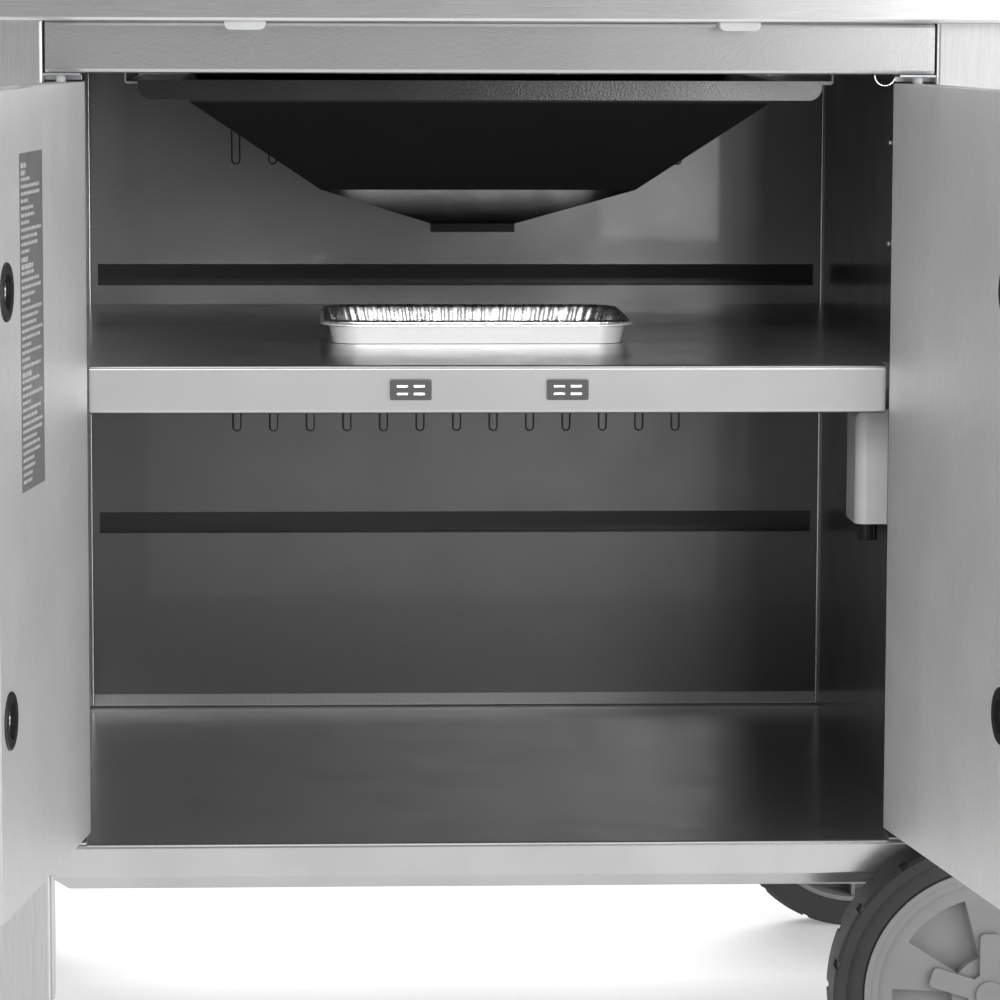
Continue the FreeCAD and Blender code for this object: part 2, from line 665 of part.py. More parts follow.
# ---- cabinet ------------------------------------------------------------------------------------
def post(side, rear):
    """A square tube closed at both ends; the left ones take casters, the right ones the axle."""
    bottom = CASTER_TOP_Z if side < 0 else RIGHT_POST_BOTTOM_Z
    ys = (REAR_POST_FRONT, REAR_POST_BACK) if rear else (0.0, POST_DEPTH)
    xs = (HALF, POST_OUTER)
    tube = rounded(box(xs, ys, (bottom, FRAME_TOP_Z)), POST_CORNER, Z_AXIS)
    inside = box(
        (xs[0] + POST_WALL, xs[1] - POST_WALL),
        (ys[0] + POST_WALL, ys[1] - POST_WALL),
        (bottom + POST_FOOT_PLATE, FRAME_TOP_Z - POST_CAP),
    )
    tube = tube.cut(inside)
    if side < 0:
        tube = mirrored(tube)
        centre = vec(CASTER_X, sum(ys) / 2, bottom)
        return tube.cut(rod(centre, Z_AXIS, CASTER_STEM_RADIUS + RUNNING, POST_FOOT_PLATE))
    bore = rod(vec(AXLE_X, ys[0], WHEEL_RADIUS), Y_AXIS, AXLE_RADIUS + RUNNING, POST_DEPTH)
    return tube.cut(bore)


def side_panel():
    """The right side panel: a shallow pan whose flanges point outwards."""
    ys = (POST_DEPTH, REAR_POST_FRONT)
    zs = (LIP_BOTTOM_Z, FRAME_TOP_Z - RAIL_SIZE)
    outer = box((HALF, HALF + SIDE_FLANGE), ys, zs)
    inner = box(
        (HALF + SHEET, HALF + SIDE_FLANGE),
        (ys[0] + SHEET, ys[1] - SHEET),
        (zs[0] + SHEET, zs[1] - SHEET),
    )
    return outer.cut(inner)


def back_panel():
    """The back sheet with its two long beads and two rows of short vertical ribs."""
    front = CABINET_DEPTH
    back = CABINET_DEPTH + SHEET
    bead_half = HALF - BEAD_END
    panel = box((-HALF, HALF), (front, back), (LIP_BOTTOM_Z, FRAME_TOP_Z - RAIL_SIZE))
    for up in BEADS_UP:
        low = FLOOR_Z + up
        high = low + BEAD_HEIGHT
        deep = low + BEAD_RISE
        outer = [(front, high + SHEET), (back + BEAD_DEPTH, deep), (front, low - SHEET)]
        inner = [(front, high), (front + BEAD_DEPTH, deep), (front, low)]
        panel = panel.fuse(prism(outer, "yz", (-bead_half - SHEET, bead_half + SHEET)))
        panel = panel.cut(prism(inner, "yz", (-bead_half, bead_half)))
    ribs = []
    for low, high in RIB_SPANS_UP:
        zs = (FLOOR_Z + low, FLOOR_Z + high)
        for i in range(RIB_COUNT):
            x = (i - (RIB_COUNT - 1) / 2) * RIB_PITCH
            rib = box((x - RIB_WIDTH / 2, x + RIB_WIDTH / 2), (front - RIB_DEPTH, front), zs)
            rib = rounded(rib, RIB_WIDTH / 2 - TINY, Y_AXIS)
            front_edges = [e for e in rib.Edges if e.BoundBox.YMax < front - RIB_DEPTH + TINY]
            ribs.append(rib.makeFillet(RIB_DEPTH - RIB_EDGE, front_edges))
    return panel.fuse(ribs).removeSplitter()


def bottom_panel():
    """The cabinet floor with its raised hem and front lip."""
    profile = [
        (LIP_SETBACK + LIP_RETURN, LIP_BOTTOM_Z),
        (LIP_SETBACK, LIP_BOTTOM_Z),
        (0.0, LIP_FLAT_Z),
        (0.0, HEM_Z),
        (HEM_DEPTH, HEM_Z),
        (HEM_DEPTH, FLOOR_Z),
        (CABINET_DEPTH, FLOOR_Z),
    ]
    # The sheet lies under its top face, so the path is drawn from the back to the front.
    sheet = folded(profile[::-1], "yz", (-HALF, HALF), SHEET, BEND)
    for side in (-1, 1):
        xs = sorted((side * (HALF - SHEET), side * HALF))
        flange = box(xs, (HEM_DEPTH, CABINET_DEPTH), (LIP_BOTTOM_Z, FLOOR_Z - SHEET))
        sheet = sheet.fuse(flange)
        corner = [
            (side * HALF, LIP_BOTTOM_Z - SHEET),
            (side * (HALF - LIP_CHAMFER), LIP_BOTTOM_Z - SHEET),
            (side * (HALF - LIP_CHAMFER), LIP_BOTTOM_Z),
            (side * HALF, LIP_FLAT_Z),
        ]
        sheet = sheet.cut(prism(corner, "xz", (-SHEET, HEM_DEPTH - SHEET)))
    return sheet.removeSplitter()


def middle_shelf():
    """The shelf: a folded front lip that stops short of the posts, and side flanges."""
    back = CABINET_DEPTH
    lip_half = HALF - SHELF_NOTCH
    profile = [
        (back, SHELF_Z),
        (SHELF_FRONT, SHELF_Z),
        (SHELF_FRONT, SHELF_Z - SHELF_LIP),
        (SHELF_FRONT + LIP_RETURN, SHELF_Z - SHELF_LIP),
    ]
    middle = folded(profile, "yz", (-lip_half, lip_half), SHEET, BEND)
    parts = []
    wing_front = SHELF_FRONT + SHELF_NOTCH_DEPTH
    ear_ys = (SHELF_FRONT + SHEET + BEND, wing_front + SHEET)
    ear_zs = (SHELF_Z - SHELF_LIP + SHEET, SHELF_Z - SHEET)
    flange_zs = (SHELF_Z - SHELF_SIDE_FLANGE, SHELF_Z)
    for side in (-1, 1):
        xs = sorted((side * lip_half, side * HALF))
        edge = sorted((side * (HALF - SHEET), side * HALF))
        ear = sorted((side * (lip_half - SHEET), side * lip_half))
        parts.append(box(xs, (wing_front, back), (SHELF_Z - SHEET, SHELF_Z)))
        parts.append(box(edge, (wing_front, back), flange_zs))
        parts.append(box(xs, (wing_front, wing_front + SHEET), flange_zs))
        parts.append(box(ear, ear_ys, ear_zs))
    return middle.fuse(parts).removeSplitter()


def magnet_catch(x):
    """A magnetic door catch on the shelf's lip, with its four pole plates showing as slots."""
    wide, thick, high = MAGNET_SIZE
    z = SHELF_Z - SHELF_LIP / 2
    ys = (SHELF_FRONT - thick, SHELF_FRONT)
    body = box((x - wide / 2, x + wide / 2), ys, (z - high / 2, z + high / 2))
    body = rounded(body, MAGNET_CORNER, Y_AXIS)
    for across in (-0.5, 0.5):
        for up in (-0.5, 0.5):
            sx = x + across * MAGNET_SLOT_PITCH[0]
            sz = z + up * MAGNET_SLOT_PITCH[1]
            slot = box(
                (sx - MAGNET_SLOT[0] / 2, sx + MAGNET_SLOT[0] / 2),
                (ys[0], ys[0] + MAGNET_SLOT_DEPTH),
                (sz - MAGNET_SLOT[1] / 2, sz + MAGNET_SLOT[1] / 2),
            )
            body = body.cut(slot)
    return body


def fascia():
    """The header above the doors, folded back at its top and bottom edges."""
    profile = [
        (FASCIA_RETURN, FRAME_TOP_Z),
        (0.0, FRAME_TOP_Z),
        (0.0, HEADER_Z),
        (FASCIA_RETURN, HEADER_Z),
    ]
    half = HALF - FASCIA_GAP
    return folded(profile, "yz", (-half, half), SHEET, BEND)


def hinge_brackets():
    """Four plates that hold the door pins: two under the header and two on the floor's hem."""
    plates = []
    for side in (-1, 1):
        xs = sorted((side * (HALF - BRACKET_WIDTH), side * HALF))
        ys = (BRACKET_FRONT, 3 * PIN_Y + BRACKET_LIP)
        pin = vec(side * PIN_X, PIN_Y, 0)
        upper = box(xs, ys, (HEADER_Z - BRACKET_PLATE, HEADER_Z))
        lip_zs = (HEADER_Z - BRACKET_PLATE - BRACKET_LIP, HEADER_Z)
        upper = weld(upper, box(xs, (ys[1] - SHEET, ys[1]), lip_zs))
        lower = box(xs, ys, (HEM_Z, HEM_Z + BRACKET_PLATE))
        for plate in (upper, lower):
            plates.append(plate.cut(rod(pin, Z_AXIS, PIN_RADIUS, FRAME_TOP_Z)))
    return plates


def door_pins():
    """Four nylon pins, pressed into the brackets, that the doors turn on."""
    pins = []
    for side in (-1, 1):
        base = vec(side * PIN_X, PIN_Y, DOOR_TOP_Z - BUSHING_LENGTH)
        pins.append(rod(base, Z_AXIS, PIN_RADIUS, HEADER_Z - base.z))
        low = vec(side * PIN_X, PIN_Y, HEM_Z)
        length = DOOR_BOTTOM_Z + BUSHING_LENGTH - HEM_Z
        pins.append(rod(low, Z_AXIS, PIN_RADIUS, length))
    return pins


def magnets():
    return [magnet_catch(x) for x in MAGNET_XS]


# ---- doors --------------------------------------------------------------------------------------
def open_door(shape, side):
    """Swings a part of the closed left door open, and mirrors it for the right one."""
    swung = turned(shape, vec(-PIN_X, PIN_Y, 0), Z_AXIS, -DOOR_OPEN_DEG)
    return swung if side < 0 else mirrored(swung)


def door_outer():
    """The closed left door's outer pan."""
    xs = (-DOOR_HINGE_X, -DOOR_FREE_X)
    depth = DOOR_THICKNESS - DOOR_SKIN
    pan = box(xs, (0.0, depth), (DOOR_BOTTOM_Z, DOOR_TOP_Z))
    front_edges = [e for e in pan.Edges if e.BoundBox.YMax < TINY]
    pan = pan.makeFillet(DOOR_EDGE_RADIUS, front_edges)
    room = box(
        (xs[0] + DOOR_SKIN, xs[1] - DOOR_SKIN),
        (DOOR_SKIN, depth),
        (DOOR_BOTTOM_Z + DOOR_SKIN, DOOR_TOP_Z - DOOR_SKIN),
    )
    pan = pan.cut(room)
    pin = vec(-PIN_X, PIN_Y, DOOR_BOTTOM_Z)
    pan = pan.cut(rod(pin, Z_AXIS, PIN_RADIUS + PIN_HOLE_GAP, DOOR_TOP_Z - DOOR_BOTTOM_Z))
    for z in HANDLE_SCREW_ZS:
        pan = pan.cut(rod(vec(-HANDLE_X, 0, z), Y_AXIS, SCREW_RADIUS + RUNNING, DOOR_SKIN))
    return pan


def door_inner():
    """The closed left door's flat inner sheet, with a hole for each grommet."""
    sheet = box(
        (-DOOR_HINGE_X, -DOOR_FREE_X),
        (DOOR_THICKNESS - DOOR_SKIN, DOOR_THICKNESS),
        (DOOR_BOTTOM_Z, DOOR_TOP_Z),
    )
    for z in HANDLE_SCREW_ZS:
        sheet = sheet.cut(rod(vec(-HANDLE_X, 0, z), Y_AXIS, GROMMET_CUP + RUNNING, DOOR_THICKNESS))
    return sheet


def door_handle():
    """A vertical bar on two posts, screwed on through the closed left door."""
    low = HANDLE_SCREW_ZS[0] - HANDLE_OVERHANG
    high = HANDLE_SCREW_ZS[1] + HANDLE_OVERHANG
    bar = rod(vec(-HANDLE_X, -HANDLE_STAND_OFF, low), Z_AXIS, HANDLE_RADIUS, high - low)
    bar = bar.makeFillet(HANDLE_END, [e for e in bar.Edges if isinstance(e.Curve, Part.Circle)])
    posts = []
    for z in HANDLE_SCREW_ZS:
        foot = vec(-HANDLE_X, -HANDLE_STAND_OFF, z)
        posts.append(rod(foot, Y_AXIS, HANDLE_POST_RADIUS, HANDLE_STAND_OFF))
    handle = weld(bar, *posts)
    for z in HANDLE_SCREW_ZS:
        start = vec(-HANDLE_X, -SCREW_REACH, z)
        handle = handle.cut(rod(start, Y_AXIS, SCREW_RADIUS + RUNNING, SCREW_REACH))
    return handle


def grommet(z):
    """A plastic cup with a flange, which lines the hole over one handle screw."""
    x = -HANDLE_X
    floor = DOOR_SKIN
    cup = rod(vec(x, floor, z), Y_AXIS, GROMMET_CUP, DOOR_THICKNESS - floor)
    flange = rod(vec(x, DOOR_THICKNESS, z), Y_AXIS, GROMMET_RADIUS, GROMMET_PROUD)
    rim = [e for e in flange.Edges if e.BoundBox.YMin > DOOR_THICKNESS + GROMMET_PROUD - TINY]
    cup = weld(cup, flange.makeFillet(GROMMET_RIM, rim))
    depth = DOOR_THICKNESS + GROMMET_PROUD - floor - GROMMET_FLOOR
    cup = cup.cut(rod(vec(x, floor + GROMMET_FLOOR, z), Y_AXIS, GROMMET_BORE, depth))
    return cup.cut(rod(vec(x, floor, z), Y_AXIS, SCREW_RADIUS + RUNNING, GROMMET_FLOOR))


def door_bushings():
    """Two blocks welded inside the closed left door's hinge edge, which turn on the pins."""
    blocks = []
    lows = (DOOR_BOTTOM_Z + DOOR_SKIN, DOOR_TOP_Z - DOOR_SKIN - BUSHING_LENGTH)
    for low in lows:
        block = box(
            (-DOOR_HINGE_X + DOOR_SKIN, -PIN_X + BUSHING_HALF),
            (DOOR_SKIN, PIN_Y + BUSHING_HALF),
            (low, low + BUSHING_LENGTH),
        )
        hole = rod(vec(-PIN_X, PIN_Y, low), Z_AXIS, PIN_RADIUS + RUNNING, BUSHING_LENGTH)
        blocks.append(block.cut(hole))
    return blocks


def make_doors():
    for side, name in ((-1, "left"), (1, "right")):
        add(name + "_door_outer", open_door(weld(door_outer(), *door_bushings()), side))
        add(name + "_door_inner", open_door(door_inner(), side))
        add(name + "_door_handle", open_door(door_handle(), side))
        add(name + "_door_grommets", *[open_door(grommet(z), side) for z in HANDLE_SCREW_ZS])


# ---- grease tray, rails, catch pan --------------------------------------------------------------
def tray_rail():
    """The right rail: a sheet that hangs from the frame rail and carries the tray on its ledge."""
    profile = [
        (HALF, FRAME_TOP_Z - SHEET),
        (RAIL_WEB_X, FRAME_TOP_Z - SHEET),
        (RAIL_WEB_X, RAIL_LEDGE_Z - SHEET),
        (RAIL_WEB_X - RAIL_LEDGE, RAIL_LEDGE_Z - SHEET),
    ]
    # Walked upwards, so that the sheet lies on the outer side of its web.
    return folded(profile[::-1], "xz", TRAY_RAIL_YS, SHEET, RAIL_BEND)


def grease_tray():
    """The drip tray: a rimmed funnel with a collar at its outlet."""
    rim_zs = (RAIL_LEDGE_Z + TRAY_CLEARANCE, RAIL_LEDGE_Z + TRAY_CLEARANCE + TRAY_SHEET)
    rim = box((-TRAY_HALF, TRAY_HALF), (TRAY_FRONT, TRAY_BACK), rim_zs)
    lip_zs = (rim_zs[1] - TRAY_LIP_HEIGHT, rim_zs[1])
    lip = box((-TRAY_LIP_HALF, TRAY_LIP_HALF), (TRAY_FRONT, TRAY_FRONT + TRAY_SHEET), lip_zs)
    low_corners = [e for e in lip.Edges if is_low_corner(e, lip_zs[0])]
    lip = lip.makeFillet(TRAY_LIP_CORNER, low_corners)
    outer = []
    inner = []
    for half, front, back, z in FUNNEL:
        outer.append((half, front, back, z))
        inner.append((half - TRAY_SHEET, front + TRAY_SHEET, back - TRAY_SHEET, z))
    body = stack(outer).fuse([rim, lip])
    return body.cut(stack(inner)).removeSplitter()


def is_low_corner(edge, low):
    """True for a straight edge along Y at the given height."""
    line = isinstance(edge.Curve, Part.Line) and abs(edge.Curve.Direction.y) > 0.999
    return line and edge.BoundBox.ZMax < low + TINY


def tub(size, height, wall, rim, base_z, corner, draft):
    """A shallow rounded tub with sloping walls and an outward rim."""
    wide, deep = size
    low = rounded_wire((wide - 2 * draft, deep - 2 * draft), corner - draft / 2, base_z)
    high = rounded_wire((wide, deep), corner, base_z + height)
    outer = Part.makeLoft([low, high], True, True)
    flange = rounded_slab(PAN_CENTRE, (wide + 2 * rim, deep + 2 * rim), corner + rim,
                          (base_z + height - wall, base_z + height))
    floor = base_z + wall
    room_low = rounded_wire((wide - 2 * draft - 2 * wall, deep - 2 * draft - 2 * wall),
                            corner - draft / 2 - wall, floor)
    room_high = rounded_wire((wide - 2 * wall, deep - 2 * wall), corner - wall, base_z + height)
    room = Part.makeLoft([room_low, room_high], True, True)
    return outer.fuse(flange).cut(room).removeSplitter()


def rounded_wire(size, corner, z):
    """A level rounded rectangle about the catch pan's centre."""
    slab = rounded_slab(PAN_CENTRE, size, corner, (z, z + 1.0))
    for face in slab.Faces:
        if face.BoundBox.ZMax < z + TINY:
            return face.OuterWire
    return None


def catch_pan():
    base = SHELF_Z + TRAY_CLEARANCE
    return tub(PAN_TOP, PAN_HEIGHT, PAN_WALL, PAN_RIM, base, PAN_CORNER, PAN_DRAFT)


def foil_liner():
    """The thin liner that drops into the catch pan and stands just above its rim."""
    shrink = PAN_WALL + LINER_GAP
    size = (PAN_TOP[0] - 2 * shrink, PAN_TOP[1] - 2 * shrink)
    base = SHELF_Z + TRAY_CLEARANCE + PAN_WALL
    height = PAN_HEIGHT - PAN_WALL + LINER_STAND
    return tub(size, height, LINER_WALL, PAN_RIM, base, PAN_CORNER - shrink, PAN_DRAFT)


def battery_box():
    """The igniter's battery housing on the right wall."""
    wide, deep, high = BATTERY_BOX
    front = BATTERY_FRONT
    low = SHELF_Z - BATTERY_DROP
    body = box((HALF - wide, HALF), (front, front + deep), (low, low + high))
    edges = [e.BoundBox for e in body.Edges]
    top = [e.ZMin > low + high - TINY and e.XMax < HALF - TINY for e in edges]
    upright = [e.ZLength > high - TINY and e.XMax < HALF - TINY for e in edges]
    rounded = [e for e, above, beside in zip(body.Edges, top, upright) if above or beside]
    body = body.makeFillet(BATTERY_CORNER, rounded)
    centre = battery_centre()
    bore = BATTERY_CAP_RADIUS - BATTERY_WALL
    return body.cut(rod(vec(centre.x, centre.y, low), Z_AXIS, bore, high - BATTERY_ROOF))


def battery_centre():
    wide, deep, _ = BATTERY_BOX
    return vec(HALF - wide / 2, BATTERY_FRONT + deep / 3, SHELF_Z - BATTERY_DROP)


def battery_cap():
    """A screw cap below the battery housing: a flange, and a finger grip with flutes."""
    centre = battery_centre()
    low = centre.z - BATTERY_CAP_HEIGHT
    grip_radius = BATTERY_CAP_RADIUS - CAP_GRIP_INSET
    grip = rod(vec(centre.x, centre.y, low), Z_AXIS, grip_radius, BATTERY_CAP_HEIGHT)
    under = vec(centre.x, centre.y, centre.z - CAP_FLANGE)
    flange = rod(under, Z_AXIS, BATTERY_CAP_RADIUS, CAP_FLANGE)
    plug = rod(centre, Z_AXIS, BATTERY_CAP_RADIUS - BATTERY_WALL - RUNNING, CAP_PLUG)
    cap = weld(grip, flange, plug)
    flute_circle = BATTERY_CAP_RADIUS - CAP_FLUTE_INSET
    for i in range(CAP_FLUTES):
        turn = math.radians(i * 360 / CAP_FLUTES)
        x = centre.x + flute_circle * math.cos(turn)
        y = centre.y + flute_circle * math.sin(turn)
        flute = rod(vec(x, y, low), Z_AXIS, CAP_FLUTE_RADIUS, BATTERY_CAP_HEIGHT - CAP_FLUTE_TOP)
        cap = cap.cut(flute)
    return cap


def match_holder():
    """A short coil with a ring at its end, fixed behind the header for holding a match."""
    z = HEADER_Z - MATCH_WIRE
    loop = Part.makeTorus(MATCH_RING_RADIUS, MATCH_WIRE, vec(MATCH_RING_X, MATCH_RING_Y, z), Y_AXIS)
    start = vec(MATCH_RING_X + MATCH_RING_RADIUS, MATCH_RING_Y, z - MATCH_COIL_DROP)
    coil = rod(start, X_AXIS, MATCH_COIL_RADIUS, HALF - start.x)
    return weld(loop, coil)


def make_tray_and_pan():
    add("tray_rails", tray_rail(), mirrored(tray_rail()))
    add("grease_tray", grease_tray())
    add("catch_pan", catch_pan())
    add("foil_liner", foil_liner())


def panel_clips():
    """Two small clips under the control panel, in front of the header."""
    clips = []
    wide, deep, high = CLIP_SIZE
    for x in CLIP_XS:
        front = PANEL_FRONT + CLIP_SETBACK
        ys = (front, front + deep)
        clip = box((x - wide / 2, x + wide / 2), ys, (FRAME_TOP_Z - high, FRAME_TOP_Z))
        corners = [e for e in clip.Edges if is_low_corner(e, FRAME_TOP_Z - high)]
        clips.append(clip.makeFillet(CLIP_CORNER, corners))
    return clips


def make_cabinet():
    posts = [post(side, rear) for side in (-1, 1) for rear in (False, True)]
    add("cabinet_frame", *posts, *frame_rails(), rear_bottom_rail())
    add("side_panels", side_panel(), mirrored(side_panel()))
    add("back_panel", back_panel())
    add("bottom_panel", bottom_panel())
    add("middle_shelf", middle_shelf())
    add("front_fascia", fascia())
    add("hinge_brackets", *hinge_brackets())
    add("door_hinge_pins", *door_pins())
    add("magnet_catches", *magnets())
    add("igniter_battery_box", battery_box())
    add("battery_cap", battery_cap())
    add("match_holder", match_holder())
    add("panel_clips", *panel_clips())


def rear_bottom_rail():
    """A small angle that covers the joint between floor and back panel."""
    profile = [
        (CABINET_DEPTH, FLOOR_Z + BOTTOM_RAIL_HEIGHT),
        (CABINET_DEPTH, FLOOR_Z),
        (CABINET_DEPTH - BOTTOM_RAIL_DEPTH, FLOOR_Z),
    ]
    return folded(profile[::-1], "yz", (-HALF, HALF), SHEET, BEND)


def frame_rails():
    """Square tubes that tie the posts together at the top: one each side and one at the back."""
    zs = (FRAME_TOP_Z - RAIL_SIZE, FRAME_TOP_Z)
    inner_zs = (zs[0] + RAIL_WALL, zs[1] - RAIL_WALL)
    side_ys = (POST_DEPTH, REAR_POST_FRONT)
    tube = box((HALF, HALF + RAIL_SIZE), side_ys, zs)
    tube = tube.cut(box((HALF + RAIL_WALL, HALF + RAIL_SIZE - RAIL_WALL), side_ys, inner_zs))
    back_ys = (CABINET_DEPTH, CABINET_DEPTH + RAIL_SIZE)
    rear = box((-HALF, HALF), back_ys, zs)
    rear = rear.cut(box((-HALF, HALF), (back_ys[0] + RAIL_WALL, back_ys[1] - RAIL_WALL), inner_zs))
    return [tube, mirrored(tube), rear]


# ---- wheels and casters -------------------------------------------------------------------------
def axle():
    """The through axle."""
    start = WHEEL_FRONT_Y + HUB_DISH + AXLE_SETBACK
    end = REAR_WHEEL_Y + WHEEL_WIDTH - HUB_DISH - AXLE_SETBACK
    return rod(vec(AXLE_X, start, WHEEL_RADIUS), Y_AXIS, AXLE_RADIUS, end - start)


def tyre():
    """A solid tyre about the Y axis; its outer face is at y = 0 and it goes back from there."""
    corners = [vec(r, y, 0) for r, y in TYRE_SECTION]
    band = Part.Face(Part.makePolygon(corners + corners[:1])).revolve(vec(0, 0, 0), Y_AXIS, 360)
    high, deep, wide = TREAD_NOTCH
    radii = (WHEEL_RADIUS - TREAD_NOTCH_DEPTH, WHEEL_RADIUS - TREAD_NOTCH_DEPTH + high)
    across = (-wide / 2, wide / 2)
    near_ys = (-LAP, deep)
    far_ys = (WHEEL_WIDTH - deep, WHEEL_WIDTH + LAP)
    notches = []
    for i in range(TREAD_NOTCHES):
        turn = i * 360 / TREAD_NOTCHES
        near = box(radii, near_ys, across)
        far = box(radii, far_ys, across)
        notches.append(turned(near, vec(0, 0, 0), Y_AXIS, turn + 180 / TREAD_NOTCHES))
        notches.append(turned(far, vec(0, 0, 0), Y_AXIS, turn))
    return band.cut(notches)


def sector(radii, middle_deg, span_deg, ys):
    """A ring sector about the Y axis."""
    span = math.radians(span_deg) / 2
    middle = math.radians(middle_deg)

    def at(radius, angle):
        return vec(radius * math.cos(angle), ys[0], radius * math.sin(angle))

    low, high = middle - span, middle + span
    edges = [
        Part.Arc(at(radii[1], low), at(radii[1], middle), at(radii[1], high)).toShape(),
        Part.makeLine(at(radii[1], high), at(radii[0], high)),
        Part.Arc(at(radii[0], high), at(radii[0], middle), at(radii[0], low)).toShape(),
        Part.makeLine(at(radii[0], low), at(radii[1], low)),
    ]
    return Part.Face(Part.Wire(edges)).extrude(Y_AXIS * (ys[1] - ys[0]))


def wheel_hub():
    """The moulded wheel centre: barrel, dished face with pockets, ribs and a bored boss."""
    outer = TYRE_INNER - RUNNING
    face_back = HUB_DISH + HUB_WALL
    inset, barrel_wall = HUB_BARREL
    rim, step = HUB_RIM
    barrel_length = WHEEL_WIDTH - 2 * inset
    barrel = ring(vec(0, inset, 0), Y_AXIS, outer, outer - barrel_wall, barrel_length)
    face = rod(vec(0, HUB_DISH, 0), Y_AXIS, outer - LAP, HUB_WALL)
    boss = rod(vec(0, HUB_DISH, 0), Y_AXIS, HUB_BOSS_RADIUS, WHEEL_WIDTH - HUB_DISH - inset)
    ledge = ring(vec(0, HUB_DISH - step, 0), Y_AXIS, outer - LAP, outer - LAP - rim, step + LAP)
    ribs = []
    for i in range(HUB_RIBS):
        rib_ys = (face_back - LAP, WHEEL_WIDTH - HUB_BACK)
        rib = box((HUB_BOSS_RADIUS - LAP, outer - LAP), rib_ys, (-HUB_RIB / 2, HUB_RIB / 2))
        ribs.append(turned(rib, vec(0, 0, 0), Y_AXIS, -(i + 0.5) * 360 / HUB_RIBS))
    pockets = []
    floors = []
    low, high = POCKET_RADII
    wall = POCKET_WALL
    floor_front = face_back + POCKET_DEPTH
    floor_ys = (floor_front, floor_front + wall)
    wall_ys = (HUB_DISH + LAP, floor_ys[1])
    wide = POCKET_DEG + 2 * wall
    for i in range(STAR_ARMS):
        middle = FIRST_POCKET_DEG + i * 360 / STAR_ARMS
        pockets.append(sector(POCKET_RADII, middle, POCKET_DEG, (HUB_DISH - LAP, floor_front)))
        floors.append(sector((low - wall, high + wall), middle, wide, floor_ys))
        floors.append(sector((low - wall, low), middle, wide, wall_ys))
        floors.append(sector((high, high + wall), middle, wide, wall_ys))
        for edge in (-1, 1):
            side = middle + edge * (POCKET_DEG + wall) / 2
            floors.append(sector((low - wall, high + wall), side, wall, wall_ys))
    hub = barrel.fuse([face, boss, ledge] + ribs)
    hub = hub.cut(pockets).fuse(floors)
    bore = rod(vec(0, 0, 0), Y_AXIS, AXLE_RADIUS + RUNNING, WHEEL_WIDTH)
    return hub.cut(bore).removeSplitter()


def star_cap():
    """The clip-on star over the wheel's centre."""
    back = HUB_DISH
    front = HUB_DISH - STAR_THICKNESS
    arms = []
    length, wide = STAR_ARM
    for i in range(STAR_ARMS):
        arm = box((0.0, length), (front, back), (-wide / 2, wide / 2))
        far = [e for e in arm.Edges if is_arm_tip(e, length)]
        arm = arm.makeFillet(STAR_CORNER, far)
        turn = FIRST_POCKET_DEG + (i - 0.5) * 360 / STAR_ARMS
        arms.append(turned(arm, vec(0, 0, 0), Y_AXIS, -turn))
    star = rod(vec(0, front, 0), Y_AXIS, STAR_CENTRE, STAR_THICKNESS).fuse(arms).removeSplitter()
    button = rod(vec(0, -CAP_PROUD, 0), Y_AXIS, STAR_BUTTON, HUB_DISH + CAP_PROUD)
    return weld(star, button)


def is_arm_tip(edge, length):
    """True for an arm's straight edges along Y at its outer end."""
    line = isinstance(edge.Curve, Part.Line) and abs(edge.Curve.Direction.y) > 0.999
    return line and edge.BoundBox.XMin > length - TINY


def make_wheels():
    pieces = (("tyre", tyre()), ("wheel_hub", wheel_hub()), ("hub_cap", star_cap()))
    for name, piece in pieces:
        add("front_" + name, moved(piece, AXLE_X, WHEEL_FRONT_Y, WHEEL_RADIUS))
        facing_back = turned(piece, vec(0, 0, 0), Z_AXIS, 180)
        add("rear_" + name, moved(facing_back, AXLE_X, REAR_WHEEL_Y + WHEEL_WIDTH, WHEEL_RADIUS))
    add("wheel_axle", axle())


def caster_plate(y):
    """The caster's fixed half: stem, plate and kingpin."""
    stem = rod(vec(CASTER_X, y, CASTER_TOP_Z), Z_AXIS, CASTER_STEM_RADIUS, CASTER_STEM)
    plate = rod(vec(CASTER_X, y, PIVOT_PLATE_Z), Z_AXIS, CASTER_PLATE_RADIUS, CASTER_PLATE)
    low = FORK_TOP_Z - FORK_PLATE - TRAY_CLEARANCE
    kingpin = rod(vec(CASTER_X, y, low), Z_AXIS, KINGPIN_RADIUS, PIVOT_PLATE_Z - low)
    beyond, thick = KINGPIN_HEAD
    head = rod(vec(CASTER_X, y, low - thick), Z_AXIS, KINGPIN_RADIUS + beyond, thick)
    return weld(stem, plate, kingpin, head)


